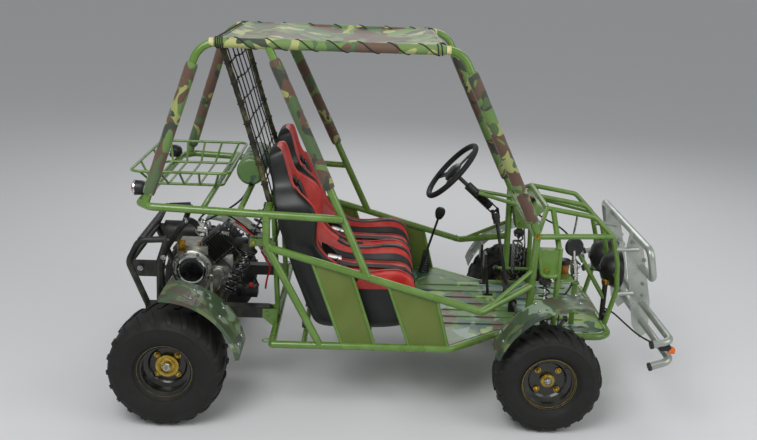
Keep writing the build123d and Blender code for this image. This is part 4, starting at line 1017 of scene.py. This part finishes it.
shockSettings = {
    "rear_shocks": {"low": (185, 270, 421), "high": (325, 270, 700),
                    "coilR": 33, "wireR": 5.2, "turns": 8.5, "bodyR": 14},
    "front_shocks": {"low": (1590, 380, 210), "high": (1590, 345, 640),
                     "coilR": 26, "wireR": 4.2, "turns": 9.5, "bodyR": 11},
}
for kind, s in shockSettings.items():
    springs, bodies, rods, ends = [], [], [], []
    for side in (-1, 1):
        a, b = (at(s[end][0], side * s[end][1], s[end][2]) for end in ("low", "high"))
        coil, body, rod = shock(kind, a, b, s["coilR"], s["wireR"], s["turns"], s["bodyR"])
        springs.append(coil)
        bodies += body
        rods.append(rod)
        for place in (a, b):
            for out in (-1, 1):
                ends.append((place + Vector((0, out * 0.0145, 0)), out))
    dress(joined(kind + ".coils", springs), "springEnamelBlack", "chassis", (kind,), 60)
    dress(joined(kind + ".bodies", bodies), "powderCoatBlack")
    dress(joined(kind + ".rods", rods), "chromePlate")
    heads = [bolted("ends", [place for place, way in ends if way == out], (0, out, 0), 19, 9)
             for out in (-1, 1)]
    dress(joined(kind + ".bolts", heads), "yellowZincPlate")
print("shocks made")

# Engine: turned covers, a finned barrel, the carburettor and its pipes
engineSettings = {"crank": (30, -60, 520), "lean": 48, "fins": 9, "finGap": 12}


def engineFrame():
    # The barrel's own frame: up its bore, forward of the crankcase
    lean = math.radians(engineSettings["lean"])
    bore = Vector((math.sin(lean), 0, math.cos(lean)))
    return Matrix.Translation(at(*engineSettings["crank"])) @ bore.to_track_quat("Z", "Y").to_matrix().to_4x4()


crank = engineSettings["crank"]
cases = []
cover = [(0, 0), (88, 0), (90, 3), (90, 14), (84, 20), (74, 22), (70, 27), (66, 28)]
cases.append(turned("cover", cover + [(0, 28)], at(crank[0], -140, crank[2]), (0, -1, 0), 64))
cases.append(turned("cover", [(0, 0), (80, 0), (82, 4), (82, 30), (74, 40), (40, 44), (0, 44)],
                    at(crank[0], 20, crank[2]), (0, 1, 0), 64))
for x, z, r in ((-34, 452, 40), (112, 452, 46), (150, 500, 30)):
    cases.append(turned("boss", [(0, 0), (r, 0), (r, 16), (r - 4, 20), (0, 22)], at(x, -140, z),
                        (0, -1, 0), 40))
for index in range(10):
    angle = 2 * math.pi * index / 10
    rib = boxed("rib", (crank[0] + 62, -166, crank[2] - 3), (crank[0] + 84, -158, crank[2] + 3), 1.2)
    rib.data.transform(turnAbout(at(*crank), "Y", math.degrees(angle)))
    cases.append(rib)
dress(joined("engine.covers", cases), "sandCastAluminium")
ring = turned("engine.cover_ring", [(56, 0), (66, 0), (67, 2), (66, 5), (60, 6), (56, 4)],
              at(crank[0], -167, crank[2]), (0, -1, 0), 64)
dress(ring, "chromePlate")
lid = turned("engine.cover_lid", [(0, 0), (57, 0), (57, 2), (52, 4), (40, 5), (20, 5.6), (0, 5.8)],
             at(crank[0], -166, crank[2]), (0, -1, 0), 64)
dress(lid, "springEnamelBlack")
places = []
for index in range(8):
    angle = 2 * math.pi * (index + 0.5) / 8
    places.append(at(crank[0] + 78 * math.cos(angle), -162, crank[2] + 78 * math.sin(angle)))
for x, z in ((-52, 400), (20, 400), (100, 400), (176, 410), (182, 470), (-52, 470)):
    places.append(at(x, -141, z))
dress(bolted("engine.cover_bolts", places, (0, -1, 0), 9, 6), "brightZincPlate")

lift = engineFrame()
block = [boxed("core", (midX - 38, -38, 84), (midX + 38, 38, 200), 4)]
for index in range(engineSettings["fins"]):
    z = 92 + index * engineSettings["finGap"]
    wide = 66 if index % 2 else 64
    block.append(boxed("fin", (midX - wide, -60, z), (midX + wide, 60, z + 3), 1.2))
block.append(boxed("head", (midX - 56, -52, 204), (midX + 56, 52, 238), 6))
for index in range(5):
    y = -44 + index * 22
    block.append(boxed("headFin", (midX - 52, y - 1.6, 236), (midX + 52, y + 1.6, 252), 1))
for piece in block:
    piece.data.transform(lift)
dress(joined("engine_cylinder.fins", block), "powderCoatBlack", "chassis", ("engine_cylinder",))
studs = []
for x in (-50, 50):
    for y in (-48, 48):
        studs.append(turned("stud", [(3, 80), (3, 244), (0, 244)], Vector((x, y, 0)) / 1000, (0, 0, 1), 10))
        studs.append(hexNut("nut", Vector((x, y, 238)) / 1000, (0, 0, 1), 13, 8))
for piece in studs:
    piece.data.transform(lift)
dress(joined("engine_cylinder.studs", studs), "brightZincPlate")

# Carburettor between the head's inlet and the filter
metal = []
port, body = at(190, -100, 680), at(78, -140, 708)
metal.append(turned("inlet", [(15, 0), (19, 2), (19, 8), (15, 10), (14, 34), (16, 36)], port, body - port, 28))
metal.append(turned("carbBody", [(0, -26), (21, -26), (24, -22), (24, 20), (20, 24), (0, 24)], body,
                    (0.93, 0.33, -0.2), 32))
metal.append(turned("carbTop", [(0, 0), (20, 0), (20, 26), (24, 27), (24, 33), (20, 36), (9, 38), (8, 46),
                               (0, 47)], body, (0, 0, 1), 32))
metal.append(turned("carbBowl", [(0, 0), (19, 0), (20, 4), (20, 26), (15, 33), (7, 35), (0, 36)], body,
                    (0, 0, -1), 32))
metal.append(boxed("carbFlange", (100, -166, 682), (106, -112, 736), 3))
dress(joined("intake.carburettor", metal), "machinedAluminium", "chassis", ("intake",))
hose = [at(*p) for p in ((70, -142, 708), (52, -154, 738), (30, -170, 758), (10, -188, 750), (-34, -190, 690),
                         (-84, -190, 612), (-98, -190, 540), (-98, -190, 480), (-92, -190, 418))]
dress(piped("intake.hose", hose, 14, 10), "hoseRubber")
clips = []
for place, axis in ((at(18, -181, 757), (-1, -0.6, -0.3)), (at(-94, -190, 575), (-0.2, 0, -1)),
                    (at(-96, -190, 446), (0.1, 0, -1))):
    clips.append(turned("clip", [(14.2, 0), (16, 0), (16, 9), (14.2, 9)], place, axis, 24))
    clips.append(boxed("clipScrew", (midX - 4, -20, -6), (midX + 4, -14, 12), 1, Matrix.Translation(place)))
dress(joined("intake.clips", clips), "brightZincPlate")
brass = [turned("elbow", [(9, 0), (13, 0), (13, 12), (11, 14), (11, 30), (9, 30)],
                at(70, -150, 640), (0.2, -1, 0.2), 6),
         turned("coupling", [(8, 0), (14, 0), (14, 10), (11, 12), (11, 26), (14, 28), (14, 38), (8, 38)],
                at(112, -172, 418), (1, -0.15, -0.6), 6),
         boxed("bracket", (-26, -172, 612), (8, -168, 664), 2),
         boxed("bracketFoot", (-26, -172, 608), (8, -140, 613), 2)]
dress(joined("engine.brackets", brass), "brassFitting")

wires = {
    "redPlastic": [
        [(228, -150, 748), (262, -178, 742), (300, -196, 706), (340, -205, 690), (352, -190, 640)],
        [(352, -226, 640), (372, -232, 610), (392, -226, 575), (386, -210, 540), (372, -200, 500),
         (366, -190, 452)],
    ],
    "hoseRubber": [
        [(60, -120, 742), (90, -150, 790), (150, -170, 800), (230, -160, 770), (300, -150, 700)],
        [(170, -90, 660), (210, -140, 640), (260, -180, 600), (310, -190, 520), (330, -150, 450)],
        [(-40, -150, 600), (-60, -170, 560), (-50, -176, 500), (-20, -170, 440), (60, -160, 410)],
        [(300, -180, 940), (280, -170, 880), (220, -150, 820), (120, -140, 760), (84, -140, 740)],
        [(160, -120, 560), (210, -160, 540), (250, -176, 470), (300, -150, 420)],
    ],
}
for name, lines in wires.items():
    made = [piped("lead", [at(*p) for p in line], 4.4 if name == "redPlastic" else 4.2, 6) for line in lines]
    dress(joined("engine.leads_" + name, made), name)
boxes = [boxed("regulator", (236, -196, 408), (330, -140, 452), 4),
         boxed("coilBox", (226, -176, 640), (286, -136, 676), 5)]
for index in range(5):
    boxes.append(boxed("regulatorFin", (240 + 18 * index, -202, 412), (246 + 18 * index, -194, 448), 1))
dress(joined("engine.boxes", boxes), "mouldedPlasticBlack")
cap = turned("engine.oil_cap", [(0, 0), (11, 0), (12, 2), (12, 12), (9, 14), (0, 14)],
             at(300, -176, 462), (0, -1, 0.3), 20)
dress(cap, "redPlastic")
print("engine made")

# Steering wheel: foam grip on a flat steel spider, and its shaft
wheelPlace, wheelFoot = at(1215, 200, 930), at(1436, 200, 736)  # hub and universal joint
along = (wheelFoot - wheelPlace).normalized()
turnWheel = Matrix.Translation(wheelPlace) @ facing(-along)
unselect()
bpy.ops.mesh.primitive_torus_add(major_radius=0.1575, minor_radius=0.0142, major_segments=96,
                                 minor_segments=18)
rim = bpy.context.object
bpy.ops.object.mode_set(mode="EDIT")
bpy.ops.mesh.select_all(action="SELECT")
bpy.ops.transform.resize(value=(1, 1, 0.92))
bpy.ops.object.mode_set(mode="OBJECT")
rim.data.transform(turnWheel)
dress(rim, "foamGripBlack", "steering_wheel", ("steering_wheel",), 60)
spider = [turned("spokes", [(46, -12), (52, -12), (52, -7), (46, -7)], Vector(), (0, 0, 1), 40)]
for index in range(3):
    arm = boxed("spoke", (midX + 30, -17, -10), (midX + 152, 17, -6), 1.4)
    spin = Matrix.Rotation(math.radians(90 + 120 * index), 4, "Z")
    arm.data.transform(spin)
    spider.append(arm)
    for radius in (72, 98, 124):
        hole = turned("hole", [(9, -10.6), (9, -5.4), (6, -5.2), (6, -10.8)], Vector(), (0, 0, 1), 18)
        hole.data.transform(spin @ Matrix.Translation((radius / 1000, 0, 0)))
        spider.append(hole)
spider.append(turned("hub", [(0, -26), (24, -26), (30, -22), (50, -12), (50, -4), (42, 4), (30, 9), (0, 10)],
                     Vector(), (0, 0, 1), 48))
for piece in spider:
    piece.data.transform(turnWheel)
dress(joined("steering_wheel.spider", spider), "powderCoatBlack", "steering_wheel")
boss = turned("steering_wheel.shaft", [(0, 20), (10, 20), (10, 120), (0, 120)], wheelPlace, along, 20)
dress(boss, "powderCoatBlack", "steering_wheel")
print("steering wheel made")

# Head lamps: a deep bowl, a rolled rim and a domed lens
lampSettings = {"y": 95, "z": 562, "back": 1902}
bowls, lenses = [], []
for side in (-1, 1):
    place = at(lampSettings["back"], side * lampSettings["y"], lampSettings["z"])
    bowls.append(turned("bowl", [(0, -14), (16, -14), (18, -10), (34, -2), (52, 4), (66, 16), (78, 36),
                                 (85, 52), (88, 58), (90, 62), (90, 78), (87, 80), (83, 78), (80, 66),
                                 (62, 30), (32, 12), (0, 8)], place, (1, 0, 0), 64))
    lenses.append(turned("lens", [(0, 78), (28, 77.4), (54, 75.4), (74, 72), (82, 68), (82, 62), (0, 62)],
                         place, (1, 0, 0), 64))
dress(joined("headlights.bowls", bowls), "mouldedPlasticBlack", "chassis", ("headlights",))
dress(joined("headlights.lenses", lenses), "clearLens")
print("lamps made")

# Front end: column bellows and joint, dash, brake gear, horn, lamps on the bumper
column = []
for index in range(11):
    start = 172 + index * 8
    column.append(turned("fold", [(14, start), (23 - (index % 2), start + 3), (23 - (index % 2), start + 4),
                                  (14, start + 8)], wheelPlace, along, 28))
dress(joined("steering_column.bellows", column), "hoseRubber")
yokes = []
lower = (at(1500, 110, 408) - wheelFoot).normalized()
for place, axis, roll in ((wheelFoot, along, 0), (wheelFoot, -lower, 90)):
    turn = Matrix.Translation(place) @ facing(axis) @ Matrix.Rotation(math.radians(roll), 4, "Z")
    for side in (-1, 1):
        ear = boxed("ear", (midX - 9, side * 17 - 3, -38), (midX + 9, side * 17 + 3, 9), 2)
        ear.data.transform(turn)
        yokes.append(ear)
    collar = turned("collar", [(0, -62), (17, -62), (17, -38), (19, -34), (0, -34)], Vector(), (0, 0, 1), 28)
    collar.data.transform(turn)
    yokes.append(collar)
    pin = turned("pin", [(0, -22), (5, -22), (5, 22), (0, 22)], Vector(), (0, 1, 0), 14)
    pin.data.transform(turn)
    yokes.append(pin)
dress(joined("steering_column.yokes", yokes), "powderCoatBlack")

# A sheet dash leans from the hood's rear tube to the tube below it, and carries the kill switch
lean = turnAbout(at(1602, 0, 868), "Y", 48)
dash = boxed("dash.panel", (1600, -196, 782), (1603, 196, 868), 1, lean)
dress(dash, "glossEnamelGreen")
dress(boxed("dash.switch", (1582, -14, 812), (1601, 22, 848), 3, lean), "mouldedPlasticBlack")
dress(turned("dash.switch_key", [(0, 0), (11, 0), (12, 2), (12, 10), (9, 13), (0, 13)], lean @ at(1584, 4, 830),
             (-0.67, 0, 0.74), 24), "redPlastic")

# A drilled plate beside the pedals: rings stand round its holes
dress(boxed("pedals.plate", (1532, 96, 440), (1536, 196, 592), 2), "powderCoatBlack")
rivets = []
for row in range(7):
    for line in range(4):
        rivets.append(turned("hole", [(0, 0), (6, 0), (7, 1), (7, 1.6), (0, 1.6)],
                             at(1532, 110 + 24 * line, 452 + 21 * row), (-1, 0, 0), 14))
dress(joined("pedals.plate_rings", rivets), "brightZincPlate")

# Brake gear on the middle cross tube: amber reservoir, master cylinder and its hose
tank = turned("brake.reservoir", [(0, 0), (20, 0), (22, 3), (24, 40), (22, 44), (0, 44)],
              at(1692, -236, 588), (0, 0, 1), 32)
dress(tank, "amberPlastic")
lid = turned("brake.reservoir_cap", [(0, 0), (27, 0), (28, 2), (28, 16), (25, 19), (0, 19)],
             at(1692, -236, 630), (0, 0, 1), 32)
dress(lid, "mouldedPlasticBlack")
bracket = [boxed("arm", (1630, -346, 582), (1718, -222, 588), 2),
           boxed("armFoot", (1636, -346, 560), (1662, -328, 588), 1)]
dress(joined("brake.bracket", bracket), "glossEnamelGreen")
cylinder = [turned("cylinder", [(0, 0), (15, 0), (17, 3), (17, 86), (13, 90), (13, 104), (9, 106), (9, 150),
                                (0, 150)], at(1756, -190, 532), (-0.12, -0.05, 1), 28),
            turned("flange", [(0, 0), (26, 0), (26, 5), (0, 5)], at(1755, -190, 560), (-0.12, -0.05, 1), 6)]
dress(joined("brake.master_cylinder", cylinder), "machinedAluminium")
mount = [boxed("shelf", (1740, -214, 522), (1776, -166, 532), 2),
         boxed("post", (1746, -206, 331), (1770, -200, 528), 2)]
dress(joined("brake.mount", mount), "glossEnamelGreen")
horn = turned("horn", [(0, 0), (20, 0), (24, 6), (38, 10), (42, 14), (42, 26), (38, 30), (12, 31), (0, 28)],
              at(1738, -168, 690), (0.2, -1, 0.1), 40)
dress(horn, "mouldedPlasticBlack")
hornArm = piped("horn.arm", [at(1738, -166, 694), at(1738, -164, 750), at(1738, -190, 800),
                             at(1738, -198, 846)], 4.5, 8)
dress(hornArm, "brightZincPlate")
gearPipes = {
    "hoseRubber": [
        [(1752, -190, 534), (1740, -200, 500), (1690, -250, 470), (1640, -320, 450), (1600, -392, 420),
         (1592, -430, 330)],
        [(1692, -236, 590), (1700, -226, 560), (1730, -206, 545), (1752, -194, 548)],
        [(1914, -160, 392), (1940, -190, 392), (1975, -230, 368), (2010, -330, 352), (2010, -460, 380),
         (2002, -560, 412)],
        [(1736, -150, 660), (1770, -130, 600), (1840, -110, 560), (1890, -97, 552)],
        [(1566, -6, 822), (1600, -60, 790), (1680, -130, 770), (1736, -160, 720), (1738, -166, 700)],
    ],
    "brightZincPlate": [
        [(1772, -184, 690), (1800, -170, 640), (1786, -176, 600), (1760, -188, 585)],
    ],
}
for name, lines in gearPipes.items():
    made = [piped("pipe", [at(*p) for p in line], 4, 6) for line in lines]
    dress(joined("brake.pipes_" + name, made), name)
stay = piped("front_frame.stay", [at(1768, -172, 660), at(1800, -166, 610), at(1908, -152, 440)], 10, 10)
dress(stay, "glossEnamelGreen")
prop = turned("front_frame.prop", [(0, 0), (12, 0), (12, 176), (15, 178), (15, 186), (0, 186)],
              at(1910, -150, 326), (0, 0, 1), 28)
dress(prop, "powderCoatBlack")
dress(turned("front_frame.prop_cap", [(0, 0), (17, 0), (18, 2), (18, 18), (14, 22), (0, 23)],
             at(1910, -150, 510), (0, 0, 1), 28), "brassFitting")
dress(turned("front_frame.prop_buffer", [(0, 0), (21, 0), (23, 3), (23, 26), (20, 30), (0, 30)],
             at(1912, -150, 352), (1, -0.2, 0.15), 28), "hoseRubber")

ends = []
for side in (-1, 1):
    for x, z, way in ((2000, 415, (-0.98, 0, -0.2)), (2004, 316, (-0.95, 0, -0.3))):
        ends.append(turned("endCap", [(0, -3), (17.4, -3), (17.6, -1), (17.6, 7), (15, 10), (0, 10)],
                           at(x, side * 600, z), way, 28))
dress(joined("front_bumper.end_caps", ends), "mouldedPlasticBlack")
lights, bases = [], []
for side in (-1, 1):
    bases.append(boxed("base", (2030, side * 600 - 14, 392), (2078, side * 600 + 14, 414), 4))
    lights.append(boxed("light", (2066, side * 600 - 16, 380), (2096, side * 600 + 16, 406), 8))
dress(joined("front_bumper.indicator_bases", bases), "mouldedPlasticBlack")
dress(joined("front_bumper.indicators", lights), "orangeLens")
spots = []
for side in (-1, 1):
    for x, z in ((2000, 722), (2052, 600), (2068, 528), (2075, 470), (2090, 350), (2062, 640)):
        spots.append((at(x, side * 188, z), side))
nuts = [bolted("bumperBolts", [place for place, way in spots if way == side], (0, side, 0), 13, 7)
        for side in (-1, 1)]
dress(joined("front_bumper.bolts", nuts), "brightZincPlate")

# Bolts that show on the frame and the towers
bolts = {
    "yellowZincPlate": [(1590, -364, 640), (1532, -398, 800), (325, -286, 700)],
    "brightZincPlate": [(-168, -288, 568), (-66, -288, 620)],
}
for name, places in bolts.items():
    both = []
    for side in (-1, 1):
        both.append(bolted("bolts", [at(x, -side * y, z) for x, y, z in places], (0, side, 0), 15, 7))
    dress(joined("frame.bolts_" + name, both), name)

# Round-headed bolts through the crowns of the fenders: middle and radius of the arc, places along it
fenderBolts = {"rear": ((0, 262), 314, (70, 44, 18)), "front": ((1690, 232), 350, (90, 118, 150))}
for kind, ((x, z), radius, angles) in fenderBolts.items():
    for word, side in hands:
        heads = []
        for angle in angles:
            out = Vector((math.cos(math.radians(angle)), 0, math.sin(math.radians(angle))))
            for y in (500, 590):
                heads.append(turned("head", [(8, -1), (8, 1), (7.4, 3), (5.4, 4.6), (0, 5.4)],
                                    at(x, side * y, z) + out * (radius + 1) / 1000, out, 20))
        dress(joined(f"{kind}_fender_{word}.bolts", heads), "brightZincPlate",
              "chassis" if kind == "rear" else f"knuckle_{word}")

# Weld beads round the joints of the tube frame
weldSettings = {"radius": 16.4, "beadR": 2.8}


def weld(place, axis):
    s = weldSettings
    unselect()
    bpy.ops.mesh.primitive_torus_add(major_radius=s["radius"] / 1000, minor_radius=s["beadR"] / 1000,
                                     major_segments=40, minor_segments=8)
    ring = bpy.context.object
    ring.data.transform(Matrix.Translation(place) @ facing(axis))
    return ring


welds = []
for side in (-1, 1):
    for place, axis in (((420, 490, 747), (0.96, 0, -0.27)), ((402, 490, 868), (0, 0, 1)),
                        ((402, 490, 335), (0, 0, 1)), ((1286, 490, 498), (0.96, 0, -0.27))):
        welds.append(weld(at(place[0], side * place[1], place[2]), axis))
dress(joined("frame.welds", welds), "glossEnamelGreen")

# Tail lamps: a black shell, a red lens and a chrome ring
shells, reds, rings = [], [], []
for side in (-1, 1):
    place = at(-104, side * 352, 948)
    shells.append(turned("shell", [(0, 0), (14, 0), (24, 8), (30, 22), (31, 44), (31, 52), (28, 54), (0, 52)],
                         place, (-1, 0, 0), 40))
    reds.append(turned("lens", [(0, 66), (16, 65), (25, 60), (28, 53), (0, 52)], place, (-1, 0, 0), 40))
    rings.append(turned("ring", [(27, 49), (32.5, 49), (33, 51), (33, 56), (29, 57), (27, 56)], place,
                        (-1, 0, 0), 40))
dress(joined("tail_lamps.shells", shells), "mouldedPlasticBlack", "chassis", ("tail_lamps",))
dress(joined("tail_lamps.lenses", reds), "redLens")
dress(joined("tail_lamps.rings", rings), "chromePlate")
print("front end made")

# Hubs: a raised ring, a bright castle nut and its split pin
for word, side in hands:
    for kind, body in (("rear", "rear_axle"), ("front", f"front_wheel_{word}")):
        w = wheelSettings[kind]
        axis, place, ringR = (0, side, 0), at(w["x"], side * w["ringY"], w["z"]), w["ringR"]
        ring = turned("ring", [(ringR - 6, -3), (ringR, -3), (ringR + 1, 3), (ringR - 2, 5), (ringR - 5, 5),
                               (ringR - 6, 2)], place, axis, 48)
        dress(ring, "yellowZincPlate", body)
        ring.name = f"{kind}_wheel_{word}.ring"
        nut = hexNut("nut", place, axis, *w["nut"], 12, 0.3)
        stud = turned("stud", [(0, -2), (9, -2), (9, 12), (7.6, 13.4), (0, 13.4)], place, axis, 20)
        pin = turned("pin", [(0, -16), (1.8, -16), (1.8, 16), (0, 16)], place + Vector((0, side * 0.0125, 0)),
                     (1, 0, 0.3), 8)
        dress(joined(f"{kind}_wheel_{word}.castle_nut", [nut, stud, pin]), "brightZincPlate", body)
print("hubs made")

# Gear lever: an egg-shaped knob and a rubber gaiter on the rod
foot, knob = at(1120, 420, 332), at(1188, 416, 648)
lever = (knob - foot).normalized()
dress(turned("gear_lever.knob", [(0, -26), (12, -26), (17, -20), (24, -2), (26, 12), (24, 24), (16, 34),
                                 (0, 38)], knob, lever, 32), "foamGripBlack")
gaiter = [(27, 0)]
for index in range(7):
    gaiter += [(26 - 2.4 * index, 6 + 12 * index), (21 - 2.2 * index, 12 + 12 * index)]
dress(turned("gear_lever.gaiter", [(0, 0)] + gaiter + [(0, 90)], foot + lever * 0.002, lever, 28), "hoseRubber")
print("gear lever made")
